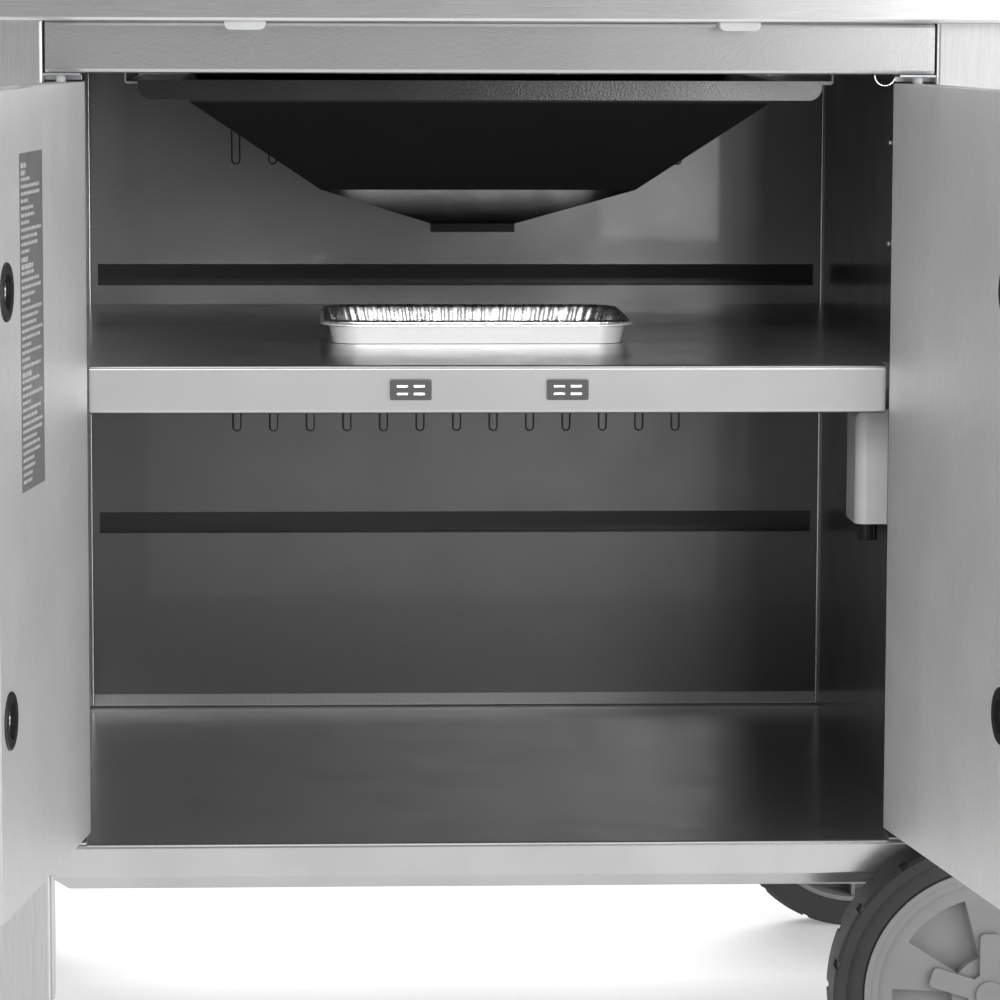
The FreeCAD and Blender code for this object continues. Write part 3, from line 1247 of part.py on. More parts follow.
def caster_fork(y):
    """The swivelling fork with its wheel pin and the lugs that carry the brake."""
    half = CASTER_WIDTH / 2 + FORK_GAP + FORK_CHEEK
    zs = (FORK_TOP_Z - FORK_PLATE, FORK_TOP_Z)
    top = rod(vec(CASTER_X, y, zs[0]), Z_AXIS, CASTER_PLATE_RADIUS - FORK_SETBACK, FORK_PLATE)
    bridge = box((CASTER_WHEEL_X - FORK_BRIDGE, CASTER_X), (y - half, y + half), zs)
    cheeks = []
    for side in (-1, 1):
        inner = y + side * (half - FORK_CHEEK)
        ys = sorted((inner, inner + side * FORK_CHEEK))
        outline = [
            (CASTER_X + CHEEK_TOP[0], zs[1]),
            (CASTER_WHEEL_X - CHEEK_TOP[1], zs[1]),
            (CASTER_WHEEL_X - CHEEK_FOOT[1], CASTER_RADIUS - CHEEK_DROP),
            (CASTER_WHEEL_X + CHEEK_FOOT[0], CASTER_RADIUS - CHEEK_DROP),
        ]
        cheeks.append(prism(outline, "xz", ys))
    fork = weld(top, bridge, *cheeks)
    fork = fork.cut(rod(vec(CASTER_X, y, 0), Z_AXIS, KINGPIN_RADIUS + RUNNING, CASTER_TOP_Z))
    start = vec(CASTER_WHEEL_X, y - half, CASTER_RADIUS)
    pin = rod(start, Y_AXIS, CASTER_AXLE_RADIUS, 2 * half)
    lever_start = vec(brake_pivot().x, y - half, brake_pivot().z)
    lever_pin = rod(lever_start, Y_AXIS, BRAKE_PIN_RADIUS, 2 * half)
    return weld(fork, pin, lever_pin)


def brake_pivot():
    """The brake lever's pin, in front of the top of the caster wheel."""
    return vec(CASTER_WHEEL_X - BRAKE_PIVOT[0], 0, FORK_TOP_Z - FORK_PLATE - BRAKE_PIVOT[1])


def caster_wheel(y):
    """The caster's wheel, with a rounded tread."""
    low = y - CASTER_WIDTH / 2
    start = vec(CASTER_WHEEL_X, low, CASTER_RADIUS)
    wheel = rod(start, Y_AXIS, CASTER_RADIUS, CASTER_WIDTH)
    wheel = wheel.makeFillet(CASTER_EDGE, [e for e in wheel.Edges if isinstance(e.Curve, Part.Circle)])
    outer, inner, deep = CASTER_GROOVE
    for near in (low, low + CASTER_WIDTH - deep):
        wheel = wheel.cut(ring(vec(CASTER_WHEEL_X, near, CASTER_RADIUS), Y_AXIS, outer, inner, deep))
    return wheel.cut(rod(start, Y_AXIS, CASTER_AXLE_RADIUS + RUNNING, CASTER_WIDTH))


def caster_brake(y):
    """The foot lever that presses on the caster's wheel."""
    pivot = brake_pivot()
    half = CASTER_WIDTH / 2
    ys = (y - half, y + half)
    eye = rod(vec(pivot.x, ys[0], pivot.z), Y_AXIS, BRAKE_EYE, 2 * half)
    tip = pivot.x - BRAKE_LENGTH
    outline = [
        (pivot.x, pivot.z + BRAKE_RISE),
        (tip, pivot.z + BRAKE_THICKNESS / 2),
        (tip - BRAKE_NOSE, pivot.z),
        (tip, pivot.z - BRAKE_THICKNESS / 2),
        (pivot.x, pivot.z + BRAKE_RISE - BRAKE_THICKNESS),
    ]
    lever = weld(eye, prism(outline, "xz", ys))
    lever = lever.cut(rod(vec(pivot.x, ys[0], pivot.z), Y_AXIS, BRAKE_PIN_RADIUS + RUNNING, 2 * half))
    return turned(lever, vec(pivot.x, y, pivot.z), Y_AXIS, -BRAKE_PRESSED_DEG)


def make_casters():
    add("caster_plates", *[caster_plate(y) for y in CASTER_YS])
    for name, y in zip(("front", "rear"), CASTER_YS):
        add(name + "_caster_fork", caster_fork(y))
        add(name + "_caster_wheel", caster_wheel(y))
        add(name + "_caster_brake", caster_brake(y))


# ---- control panel and gas train ----------------------------------------------------------------
def control_panel():
    """The panel: a folded sheet with closed ends, holes for the valve stems and the igniter."""
    top_y = PANEL_FRONT + PANEL_SLOPE[0]
    top_z = FRAME_TOP_Z + PANEL_STRIP + PANEL_SLOPE[1]
    profile = [
        (PANEL_BACK, FRAME_TOP_Z),
        (PANEL_FRONT, FRAME_TOP_Z),
        (PANEL_FRONT, FRAME_TOP_Z + PANEL_STRIP),
        (top_y, top_z),
        (PANEL_BACK, top_z),
    ]
    # Walked from the top so that the sheet lies inside the outline.
    half = PANEL_HALF
    shell = folded(profile[::-1], "yz", (-half, half), SHEET, BEND)
    ends = []
    for side in (-1, 1):
        xs = sorted((side * half, side * (half - SHEET)))
        inset = SHEET / 2
        outline = [
            (PANEL_BACK, FRAME_TOP_Z + inset),
            (PANEL_FRONT + inset, FRAME_TOP_Z + inset),
            (PANEL_FRONT + inset, FRAME_TOP_Z + PANEL_STRIP),
            (top_y + inset, top_z - inset),
            (PANEL_BACK, top_z - inset),
        ]
        ends.append(prism(outline, "yz", xs))
    shell = shell.fuse(ends)
    for x in KNOB_XS:
        shell = shell.cut(panel_rod(x, STEM_HOLE_RADIUS, -2 * SHEET, SHEET))
    shell = shell.cut(panel_rod(IGNITER_X, IGNITER_HOUSING - IGNITER_COLLAR, -2 * SHEET, SHEET))
    pipe = vec(-half, manifold_axis().y, manifold_axis().z)
    return shell.cut(rod(pipe, X_AXIS, INLET_PIPE + INLET_GAP, SHEET)).removeSplitter()


def manifold_axis():
    return on_panel(0, -MANIFOLD_DEPTH)


def gas_manifold():
    """The gas pipe: valve seats, an orifice for each burner, and an inlet at its left end."""
    centre = manifold_axis()
    left, right = MANIFOLD_XS
    pipe = rod(vec(left, centre.y, centre.z), X_AXIS, MANIFOLD_RADIUS, right - left)
    branches = []
    for x in KNOB_XS:
        branches.append(panel_rod(x, ORIFICE_RADIUS + SHEET, -MANIFOLD_DEPTH, -VALVE_END))
        reach = BURNER_INLET_Y + ORIFICE_REACH - centre.y
        branches.append(rod(vec(x, centre.y, centre.z), Y_AXIS, ORIFICE_RADIUS, reach))
    nose_x = -(PANEL_HALF + INLET_STAND)
    end_x = nose_x - INLET_LENGTH
    branches.append(rod(vec(nose_x, centre.y, centre.z), X_AXIS, INLET_PIPE, left - nose_x))
    branches.append(rod(vec(end_x, centre.y, centre.z), X_AXIS, INLET_RADIUS, INLET_LENGTH))
    pipe = pipe.fuse(branches)
    room_start = vec(left + MANIFOLD_END, centre.y, centre.z)
    room = rod(room_start, X_AXIS, MANIFOLD_BORE, right - left - 2 * MANIFOLD_END)
    bore = rod(vec(end_x, centre.y, centre.z), X_AXIS, INLET_BORE, left + MANIFOLD_END - end_x)
    return pipe.cut(room).cut(bore).removeSplitter()


def gas_valve(x):
    """A valve body with its flatted stem."""
    body = panel_rod(x, VALVE_RADIUS, -VALVE_END, -VALVE_START)
    stem_end = BEZEL_THICKNESS + KNOB_GAP + KNOB_DEPTH - KNOB_FACE - STEM_END_GAP
    stem = panel_rod(x, STEM_RADIUS, -VALVE_START, stem_end)
    return weld(body, stem)


def knob(x):
    """A knob with a skirt and a finger grip across its face."""
    low = BEZEL_THICKNESS + KNOB_GAP
    skirt = panel_rod(x, KNOB_RADIUS, low, low + KNOB_SKIRT)
    rim = [e for e in skirt.Edges if isinstance(e.Curve, Part.Circle)]
    skirt = skirt.makeFillet(KNOB_EDGE, rim)
    crown = panel_rod(x, KNOB_RADIUS - KNOB_STEP, low + KNOB_SKIRT / 2, low + KNOB_SKIRT + KNOB_STEP)
    # The grip is drawn upright with its foot at Y = 0, then leant onto the panel's normal.
    reach = KNOB_RADIUS - KNOB_STEP + LAP
    grip = box((x - KNOB_GRIP / 2, x + KNOB_GRIP / 2), (LAP - KNOB_DEPTH, 0.0), (-reach, reach))
    grip = rounded(grip, KNOB_GRIP_CORNER, Z_AXIS)
    lean = math.degrees(math.atan2(SLOPE_UP[0], SLOPE_UP[1]))
    grip = turned(grip, vec(0, 0, 0), X_AXIS, -lean)
    foot = on_panel(0, low + LAP)
    grip = moved(grip, 0, foot.y, foot.z)
    body = weld(skirt, crown, grip)
    return body.cut(panel_rod(x, STEM_RADIUS + RUNNING, low, low + KNOB_DEPTH - KNOB_FACE))


def bezel(x):
    """The ring between a knob and the panel."""
    plate = panel_rod(x, BEZEL_RADIUS, 0.0, BEZEL_THICKNESS)
    front = on_panel(x, BEZEL_THICKNESS)
    normal = vec(0, *PANEL_NORMAL)
    rim = [e for e in plate.Edges if (e.CenterOfMass - front).dot(normal) > -TINY]
    plate = plate.makeFillet(BEZEL_EDGE, rim)
    return plate.cut(panel_rod(x, STEM_HOLE_RADIUS, 0.0, BEZEL_THICKNESS))


def igniter_housing():
    """The igniter's threaded body, with a round collar on the panel's face."""
    collar = panel_rod(IGNITER_X, IGNITER_HOUSING, 0.0, IGNITER_COLLAR_HEIGHT)
    body_radius = IGNITER_HOUSING - IGNITER_COLLAR - RUNNING
    body = panel_rod(IGNITER_X, body_radius, -IGNITER_BACK, 0.0)
    room_start = IGNITER_FLOOR - IGNITER_BACK
    room = panel_rod(IGNITER_X, IGNITER_RADIUS + IGNITER_PLAY, room_start, IGNITER_COLLAR_HEIGHT)
    return weld(collar, body).cut(room)


def igniter_button():
    """The push button that slides in the igniter's body."""
    top = IGNITER_COLLAR_HEIGHT + IGNITER_STROKE
    button = panel_rod(IGNITER_X, IGNITER_RADIUS, -IGNITER_TAIL, top)
    tip = on_panel(IGNITER_X, top)
    edge = [e for e in button.Edges if (e.CenterOfMass - tip).Length < SHEET]
    return button.makeFillet(IGNITER_EDGE, edge)


def burner(x):
    """A tube burner that runs from the manifold's orifice to the back of the cook box."""
    z = manifold_axis().z
    start = vec(x, BURNER_INLET_Y, z)
    length = BOX_BACK - BOX_WALL - BURNER_INLET_Y - BURNER_TAB[1]
    tube = rod(start, Y_AXIS, BURNER_RADIUS, length)
    tube = tube.cut(rod(start, Y_AXIS, BURNER_RADIUS - BURNER_WALL, length - 2 * BURNER_WALL))
    wide, _, thick = BURNER_TAB
    tab_ys = (BURNER_INLET_Y + length - BURNER_WALL, BOX_BACK - BOX_WALL)
    tab = box((x - wide / 2, x + wide / 2), tab_ys, (z - thick / 2, z + thick / 2))
    return weld(tube, tab)


def make_gas_train():
    add("control_panel", control_panel())
    add("gas_manifold", gas_manifold())
    add("gas_valves", *[gas_valve(x) for x in KNOB_XS])
    add("panel_bezels", *[bezel(x) for x in KNOB_XS], igniter_housing())
    for name, x in zip(("left", "middle", "right"), KNOB_XS):
        add(name + "_knob", knob(x))
    add("igniter_button", igniter_button())
    add("burners", *[burner(x) for x in KNOB_XS])


# ---- cook box -----------------------------------------------------------------------------------
def cook_box():
    """The fire box: four walls, a hopper, four ledge bars and four feet on the frame rails."""
    wall = BOX_WALL
    inside = BOX_HALF - wall
    ys = (BOX_FRONT, BOX_BACK)
    zs = (BOX_KNEE_Z, BOX_TOP_Z)
    front = box((-inside, inside), (ys[0], ys[0] + wall), zs)
    back = box((-inside, inside), (ys[1] - wall, ys[1]), zs)
    end = box((inside, BOX_HALF), ys, zs)
    z = manifold_axis().z
    for x in KNOB_XS:
        front = front.cut(rod(vec(x, ys[0], z), Y_AXIS, BURNER_RADIUS + BURNER_HOLE_GAP, wall))
    pieces = [front, back, end, mirrored(end)] + hopper()
    for top in (TAMER_LEDGE_Z, GRATE_LEDGE_Z):
        ledge_zs = (top - LEDGE_THICKNESS, top)
        front_ys = (ys[0] + wall, ys[0] + wall + LEDGE_WIDTH)
        back_ys = (ys[1] - wall - LEDGE_WIDTH, ys[1] - wall)
        pieces.append(box((-inside, inside), front_ys, ledge_zs))
        pieces.append(box((-inside, inside), back_ys, ledge_zs))
    foot_x = HALF + RAIL_SIZE / 2
    foot_xs = (foot_x - BOX_FOOT / 2, foot_x + BOX_FOOT / 2)
    for y in (BOX_FRONT + BOX_FOOT_SETBACK, BOX_BACK - BOX_FOOT_SETBACK - BOX_FOOT):
        foot = box(foot_xs, (y, y + BOX_FOOT), (FRAME_TOP_Z, BOX_KNEE_Z)).cut(hopper_block(0.0))
        pieces += [foot, mirrored(foot)]
    return pieces


def hopper_block(inset):
    """The hopper's outline as a solid, drawn in by an inset."""
    half, front, back = BOX_MOUTH
    return stack([
        (BOX_HALF - inset, BOX_FRONT + inset, BOX_BACK - inset, BOX_KNEE_Z),
        (half - inset, front + inset, back - inset, BOX_MOUTH_Z),
    ])


def hopper():
    """The four sloping plates under the fire box, open at the bottom."""
    _, front, back = BOX_MOUTH
    inner = hopper_block(BOX_WALL)
    between = [
        (BOX_FRONT + BOX_WALL, BOX_KNEE_Z),
        (front + BOX_WALL, BOX_MOUTH_Z),
        (back - BOX_WALL, BOX_MOUTH_Z),
        (BOX_BACK - BOX_WALL, BOX_KNEE_Z),
    ]
    between = prism(between, "yz", (-BOX_HALF, BOX_HALF))
    block = hopper_block(0.0)
    return block.cut(between).Solids + block.common(between).cut(inner).Solids


def flame_tamer(x):
    """An upside-down V sheet over one burner, with small feet on the ledges."""
    profile = [
        (x - TAMER_HALF, TAMER_LEDGE_Z),
        (x, TAMER_LEDGE_Z + TAMER_RISE),
        (x + TAMER_HALF, TAMER_LEDGE_Z),
    ]
    ys = (BOX_FRONT + BOX_WALL + TAMER_PLAY, BOX_BACK - BOX_WALL - TAMER_PLAY)
    sheet = folded(profile[::-1], "xz", ys, SHEET, TAMER_BEND)
    floor = box((x - 2 * TAMER_HALF, x + 2 * TAMER_HALF), (0.0, BOX_BACK), (0.0, TAMER_LEDGE_Z))
    return sheet.cut(floor)


def grate(side):
    """One cast grate: a frame with bars that run back, and a cross tie in the middle."""
    inner = GRATE_GAP / 2
    outer = BOX_HALF - BOX_WALL - RACK_PLATE[0] - GRATE_PLAY
    ys = (BOX_FRONT + BOX_WALL + GRATE_PLAY, BOX_BACK - BOX_WALL - GRATE_PLAY)
    zs = (GRATE_LEDGE_Z, GRATE_LEDGE_Z + GRATE_THICKNESS)
    plate = box((inner, outer), ys, zs)
    room = outer - inner - 2 * GRATE_BORDER
    pitch = (room + GRATE_BAR) / (GRATE_BARS + 1)
    middle = sum(ys) / 2
    slots = []
    for i in range(GRATE_BARS + 1):
        low = inner + GRATE_BORDER + i * pitch
        xs = (low, low + pitch - GRATE_BAR)
        slots.append(box(xs, (ys[0] + GRATE_BORDER, middle - GRATE_BORDER / 2), zs))
        slots.append(box(xs, (middle + GRATE_BORDER / 2, ys[1] - GRATE_BORDER), zs))
    grid = plate.cut(slots)
    return grid if side > 0 else mirrored(grid)


def warming_rack():
    """A wire grid over the grates' back, carried at each end by a plate with two legs."""
    inside = BOX_HALF - BOX_WALL
    leg_x = inside - RACK_PLATE[0] / 2
    leg_ys = (RACK_YS[0] + RACK_INSET, RACK_YS[1] - RACK_INSET)
    depth = RACK_YS[1] - RACK_YS[0]
    wires = []
    ends = []
    for side in (-1, 1):
        xs = sorted((side * inside, side * (inside - RACK_PLATE[0])))
        end = [box(xs, RACK_YS, (BOX_TOP_Z - RACK_PLATE[1], BOX_TOP_Z - RACK_DROP))]
        for y in leg_ys:
            start = vec(side * leg_x, y, BOX_TOP_Z - RACK_DROP - RACK_WIRE)
            end.append(rod(start, Z_AXIS, RACK_THIN_WIRE, RACK_Z - RACK_WIRE - start.z))
        ends.append(weld(*end))
        wires.append(rod(vec(side * leg_x, RACK_YS[0], RACK_Z), Y_AXIS, RACK_WIRE, depth))
    for y in leg_ys:
        wires.append(rod(vec(-leg_x, y, RACK_Z), X_AXIS, RACK_CROSS_WIRE, 2 * leg_x))
    pitch = 2 * leg_x / (RACK_RODS + 1)
    for i in range(RACK_RODS):
        start = vec(-leg_x + (i + 1) * pitch, RACK_YS[0], RACK_Z)
        wires.append(rod(start, Y_AXIS, RACK_THIN_WIRE, depth))
    return [weld(*wires)] + ends


def box_hinges():
    """Two pairs of ears on the cook box's back, each with its riveted pin for the lid."""
    ears = []
    low = BOX_TOP_Z - HINGE_PLATE
    back = HINGE_Y + HINGE_EAR_RADIUS
    for x in (-HINGE_X, HINGE_X):
        parts = []
        reach = LID_EAR / 2 + HINGE_SIDE_GAP + HINGE_EAR
        for side in (-1, 1):
            xs = sorted((x + side * (reach - HINGE_EAR), x + side * reach))
            parts.append(box(xs, (HINGE_Y - HINGE_EAR_RADIUS, back), (low, HINGE_Z)))
            parts.append(box(xs, (BOX_BACK, back), (low, LID_BOTTOM_Z - HINGE_EAR_RADIUS)))
            parts.append(rod(vec(xs[0], HINGE_Y, HINGE_Z), X_AXIS, HINGE_EAR_RADIUS, HINGE_EAR))
            head_x = x + reach if side > 0 else x - reach - HINGE_HEAD
            head = vec(head_x, HINGE_Y, HINGE_Z)
            parts.append(rod(head, X_AXIS, HINGE_PIN_RADIUS + HINGE_HEAD, HINGE_HEAD))
        web = (BOX_BACK, BOX_BACK + HINGE_EAR)
        parts.append(box((x - reach, x + reach), web, (low, LID_BOTTOM_Z - HINGE_EAR_RADIUS)))
        parts.append(rod(vec(x - reach, HINGE_Y, HINGE_Z), X_AXIS, HINGE_PIN_RADIUS, 2 * reach))
        ears.append(weld(*parts))
    return ears


def make_cook_box():
    add("cook_box", *cook_box())
    add("flame_tamers", *[flame_tamer(x) for x in KNOB_XS])
    add("cooking_grates", grate(-1), grate(1))
    add("warming_rack", *warming_rack())
    add("lid_hinge_brackets", *box_hinges())


# ---- lid ----------------------------------------------------------------------------------------
def lid_shell():
    """The rolled lid, with an ear for each hinge pin on its back."""
    shell = folded(LID_FACE[::-1], "yz", (-LID_HALF, LID_HALF), LID_SHEET, LID_BENDS[::-1])
    back = LID_FACE[-1][0]
    ears = []
    for x in (-HINGE_X, HINGE_X):
        xs = (x - LID_EAR / 2, x + LID_EAR / 2)
        ear = box(xs, (back, HINGE_Y), (HINGE_Z - LID_EAR_HEIGHT / 2, HINGE_Z + LID_EAR_HEIGHT / 2))
        eye = rod(vec(xs[0], HINGE_Y, HINGE_Z), X_AXIS, HINGE_EAR_RADIUS - 1, LID_EAR)
        hole = rod(vec(xs[0], HINGE_Y, HINGE_Z), X_AXIS, HINGE_PIN_RADIUS + RUNNING, LID_EAR)
        ears.append(ear.fuse(eye).cut(hole))
    return shell.fuse(ears).removeSplitter()


def lid_section(inset, xs):
    """A prism with the lid's outline, drawn in by an inset and closed level at its lower edge."""
    bends = tuple(bend + LID_SHEET - inset for bend in LID_BENDS[::-1])
    near, far = bent_path(LID_FACE[::-1], "yz", xs[0], inset, bends)
    edges = far if inset > 0 else near
    first = edges[0].Vertexes[0].Point
    last = edges[-1].Vertexes[-1].Point
    return pulled(edges + [Part.makeLine(first, last)], "yz", xs)


def lid_cap():
    """The right end cap: a plate with the lid's outline and a rim, hollowed from inside."""
    plate = lid_section(0.0, (LID_HALF, LID_HALF + LID_CAP))
    face_edges = [e for e in plate.Edges if e.BoundBox.XMin > LID_HALF + LID_CAP - TINY]
    plate = plate.makeFillet(LID_CAP_EDGE, face_edges)
    return plate.cut(lid_section(LID_CAP_RIM, (LID_HALF, LID_HALF + LID_CAP - LID_CAP_PLATE)))


def front_face_y(z):
    """Where the lid's front face is at a height below its first bend."""
    (y0, z0), (y1, z1) = LID_FACE[:2]
    return y0 + (y1 - y0) * (z - z0) / (z1 - z0)


def lid_handle():
    """A round bar across the lid's front, on two posts."""
    y = front_face_y(LID_HANDLE_Z) - LID_HANDLE_STAND
    bar = rod(vec(-LID_HANDLE_HALF, y, LID_HANDLE_Z), X_AXIS, LID_HANDLE_RADIUS, 2 * LID_HANDLE_HALF)
    bar = bar.makeFillet(LID_HANDLE_END, [e for e in bar.Edges if isinstance(e.Curve, Part.Circle)])
    posts = []
    for x in (-LID_HANDLE_POST_X, LID_HANDLE_POST_X):
        start = vec(x, y, LID_HANDLE_Z)
        posts.append(rod(start, Y_AXIS, LID_POST_RADIUS, LID_HANDLE_STAND + LID_POST_REACH))
        flange_y = y + LID_HANDLE_STAND + LID_POST_REACH - LID_FLANGE[1]
        posts.append(rod(vec(x, flange_y, LID_HANDLE_Z), Y_AXIS, *LID_FLANGE))
    handle = weld(bar, *posts)
    return handle.cut(lid_section(0.0, (-LID_HALF, LID_HALF)))


def on_lid(out, up):
    """A point in the middle of the lid's sloping face: out from it, and up from its lower bend."""
    (y0, z0), (y1, z1) = LID_FACE[1:3]
    length = math.hypot(y1 - y0, z1 - z0)
    ay, az = (y1 - y0) / length, (z1 - z0) / length
    return vec(0, y0 + ay * up - az * out, z0 + az * up + ay * out)


def gauge_rod(radius, start, end):
    base = on_lid(start, GAUGE_UP)
    return rod(base, on_lid(end, GAUGE_UP) - base, radius, end - start)


def thermometer():
    """The lid thermometer: a cup with a rim, and its probe through the lid."""
    cup = gauge_rod(GAUGE_RADIUS, 0.0, GAUGE_DEPTH)
    tip = on_lid(GAUGE_DEPTH, GAUGE_UP)
    rim = [e for e in cup.Edges if (e.CenterOfMass - tip).Length < SHEET]
    cup = cup.makeFillet(GAUGE_EDGE, rim)
    cup = cup.cut(gauge_rod(GAUGE_RADIUS - GAUGE_WALL, GAUGE_FLOOR, GAUGE_DEPTH))
    probe = gauge_rod(GAUGE_PROBE, -GAUGE_PROBE_LENGTH, GAUGE_ROOT)
    seat = gauge_rod(POINTER_SHAFT + RUNNING, GAUGE_ROOT - RUNNING, GAUGE_FLOOR)
    return weld(cup, probe).cut(seat)


def pointer():
    """The thermometer's pointer, which turns on a short shaft in the cup's floor."""
    low = GAUGE_FLOOR + POINTER_STAND
    hub_radius, hub_height = POINTER_HUB
    hub = gauge_rod(hub_radius, low, low + hub_height)
    shaft = gauge_rod(POINTER_SHAFT, GAUGE_ROOT, low + hub_height)
    base = on_lid(low, GAUGE_UP)
    up = on_lid(low, GAUGE_UP + POINTER_REACH) - base
    out = on_lid(low + POINTER_STAND, GAUGE_UP) - base
    tail = base - up * POINTER_TAIL
    tip = base + up
    wide, narrow = [X_AXIS * width / 2 for width in POINTER_WIDTHS]
    corners = [tail - wide, tail + wide, tip + narrow, tip - narrow]
    needle = Part.Face(Part.makePolygon(corners + corners[:1])).extrude(out)
    return turned(weld(hub, shaft, needle), base, out, POINTER_COLD_DEG)


def make_lid():
    add("lid_shell", lid_shell().cut(gauge_rod(GAUGE_PROBE, -GAUGE_PROBE_LENGTH, GAUGE_ROOT)))
    add("lid_end_caps", lid_cap(), mirrored(lid_cap()))
    add("lid_handle", lid_handle())
    add("thermometer", thermometer())
    add("thermometer_pointer", pointer())


# ---- side tables --------------------------------------------------------------------------------
def side_table():
    """The right table: a folded top with a skirt and a hem."""
    xs = (TABLE_INNER, TABLE_OUTER)
    low = TABLE_TOP_Z - TABLE_SKIRT
    block = rounded(box(xs, TABLE_YS, (low, TABLE_TOP_Z)), TABLE_CORNER, Z_AXIS)
    top_edges = [e for e in block.Edges if e.BoundBox.ZMin > TABLE_TOP_Z - TINY]
    block = block.makeFillet(TABLE_CORNER / 2, top_edges)
    sheet = TABLE_SHEET
    room = box(
        (xs[0] + sheet, xs[1] - sheet),
        (TABLE_YS[0] + sheet, TABLE_YS[1] - sheet),
        (low + sheet, TABLE_TOP_Z - sheet),
    )
    mouth = box(
        (xs[0] + TABLE_HEM, xs[1] - TABLE_HEM),
        (TABLE_YS[0] + TABLE_HEM, TABLE_YS[1] - TABLE_HEM),
        (low, low + 2 * sheet),
    )
    return block.cut(room).cut(mouth)


def table_arm(y):
    """A welded arm: an upright web, a plate on the cook box and a flange under the table."""
    top = TABLE_TOP_Z - TABLE_SKIRT
    low = top - ARM_HEIGHT
    end = BOX_HALF + ARM_REACH
    outline = [
        (BOX_HALF, top),
        (end, top),
        (end, top - ARM_HEIGHT / 4),
        (BOX_HALF + ARM_PLATE, low),
        (BOX_HALF, low),
    ]
    web = prism(outline, "xz", (y, y + ARM_THICKNESS))
    plate_ys = (y - ARM_FOOT, y + ARM_THICKNESS + ARM_FOOT)
    plate = box((BOX_HALF, BOX_HALF + ARM_PLATE), plate_ys, (low, top))
    flange_ys = (y - ARM_FOOT / 2, y + ARM_THICKNESS + ARM_FOOT / 2)
    flange = box((BOX_HALF, end), flange_ys, (top - ARM_THICKNESS / 2, top))
    return weld(web, plate, flange)


def make_tables():
    add("side_tables", side_table(), mirrored(side_table()))
    arms = [table_arm(y) for y in ARM_YS]
    add("table_arms", *arms, *[mirrored(arm) for arm in arms])


def main():
    os.makedirs("parts", exist_ok=True)
    make_cabinet()
    make_doors()
    make_tray_and_pan()
    make_wheels()
    make_casters()
    make_gas_train()
    make_cook_box()
    make_lid()
    make_tables()
    for name, solids in NODES.items():
        shape = solids[0] if len(solids) == 1 else Part.makeCompound(solids)
        shape = moved(shape, 0, SHIFT_Y, 0)
        shape.exportStep("parts/" + name + ".step")
        print(name, len(shape.Solids), shape.isValid(), round(shape.Volume))


if __name__ == "__main__":
    main()
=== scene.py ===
"""The looks of a gas barbecue grill on a cabinet: finishes, small pieces, light and camera."""

import json
import math
import random

import bpy
from mathutils import Matrix, Vector


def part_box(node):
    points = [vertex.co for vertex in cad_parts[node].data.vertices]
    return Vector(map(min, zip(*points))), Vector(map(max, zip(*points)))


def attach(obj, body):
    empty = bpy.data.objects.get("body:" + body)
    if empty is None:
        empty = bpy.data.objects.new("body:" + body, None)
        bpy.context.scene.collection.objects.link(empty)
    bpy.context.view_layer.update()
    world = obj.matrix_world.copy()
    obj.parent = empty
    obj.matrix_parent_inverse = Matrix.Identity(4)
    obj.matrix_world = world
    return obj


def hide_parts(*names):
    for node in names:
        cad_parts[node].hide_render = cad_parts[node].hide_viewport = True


MM = 0.001

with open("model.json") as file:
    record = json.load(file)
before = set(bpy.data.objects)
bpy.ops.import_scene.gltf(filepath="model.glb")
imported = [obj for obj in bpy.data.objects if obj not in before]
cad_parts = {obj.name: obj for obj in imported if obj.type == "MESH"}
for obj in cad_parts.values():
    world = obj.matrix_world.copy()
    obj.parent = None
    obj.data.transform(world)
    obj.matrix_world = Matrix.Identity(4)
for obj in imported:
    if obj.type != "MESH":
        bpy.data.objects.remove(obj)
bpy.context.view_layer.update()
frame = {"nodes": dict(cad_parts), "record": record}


# ---- where things are, from the frame ------------------------------------------------------------
def low(node):
    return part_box(node)[0]


def high(node):
    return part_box(node)[1]


def middle(node):
    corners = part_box(node)
    return (corners[0] + corners[1]) / 2


def joint(name):
    """What the record says about a joint."""
    return next(entry for entry in frame["record"]["behaviour"]["joints"] if entry["name"] == name)


FRONT_Y = low("front_fascia").y  # the cabinet's front plane
LIP_LOW = high("grease_tray").z - 13.2 * MM  # lower edge of the tray's upright lip
RANDOM = random.Random(7)


# ---- sizes that the frame doesn't give -----------------------------------------------------------
EDGES = {  # how wide the sharp edges of a CAD node are rounded
    "magnet_catches": 0.35 * MM,
    "front_wheel_hub": 0.5 * MM,
    "rear_wheel_hub": 0.5 * MM,
    "front_hub_cap": 0.6 * MM,
    "rear_hub_cap": 0.6 * MM,
    "hinge_brackets": 0.2 * MM,
    "panel_clips": 0.4 * MM,
    "battery_cap": 0.3 * MM,
    "back_panel": 1.0 * MM,
}

FOIL_POINTS = 880  # round each ring of the foil tub
FOIL_HEIGHT = 15.7 * MM  # the tub's height that its rings are drawn at
FOIL_CORNER = 25.5  # corner radius of the rim in mm, and how it shrinks with the inset
FOIL_CORNER_SHRINK = 0.35
FOIL_THICKNESS = 0.15 * MM

SCREW_DEPTH = 5.0 * MM  # from a grommet's face to the seat of its screw
SCREW_RADIUS = 4.6 * MM
# radius and height of each ring of a pan head, as shares of the head's radius
SCREW_PROFILE = (
    (1.0, 0.0), (1.0, 0.3), (0.94, 0.46), (0.8, 0.56), (0.66, 0.62), (0.6, 0.63),
    (0.5, 0.65), (0.4, 0.66), (0.3, 0.67), (0.2, 0.68), (0.14, 0.68), (0.07, 0.68),
)
# radius and height in mm of each ring of the cup under a door screw
CUP_PROFILE = (
    (10.9, 0.6), (10.4, 1.4), (9.6, 1.5), (9.2, 0.8),
    (7.4, 0.6), (7.0, 0.1), (6.0, 0.0), (2.0, 0.0),
)

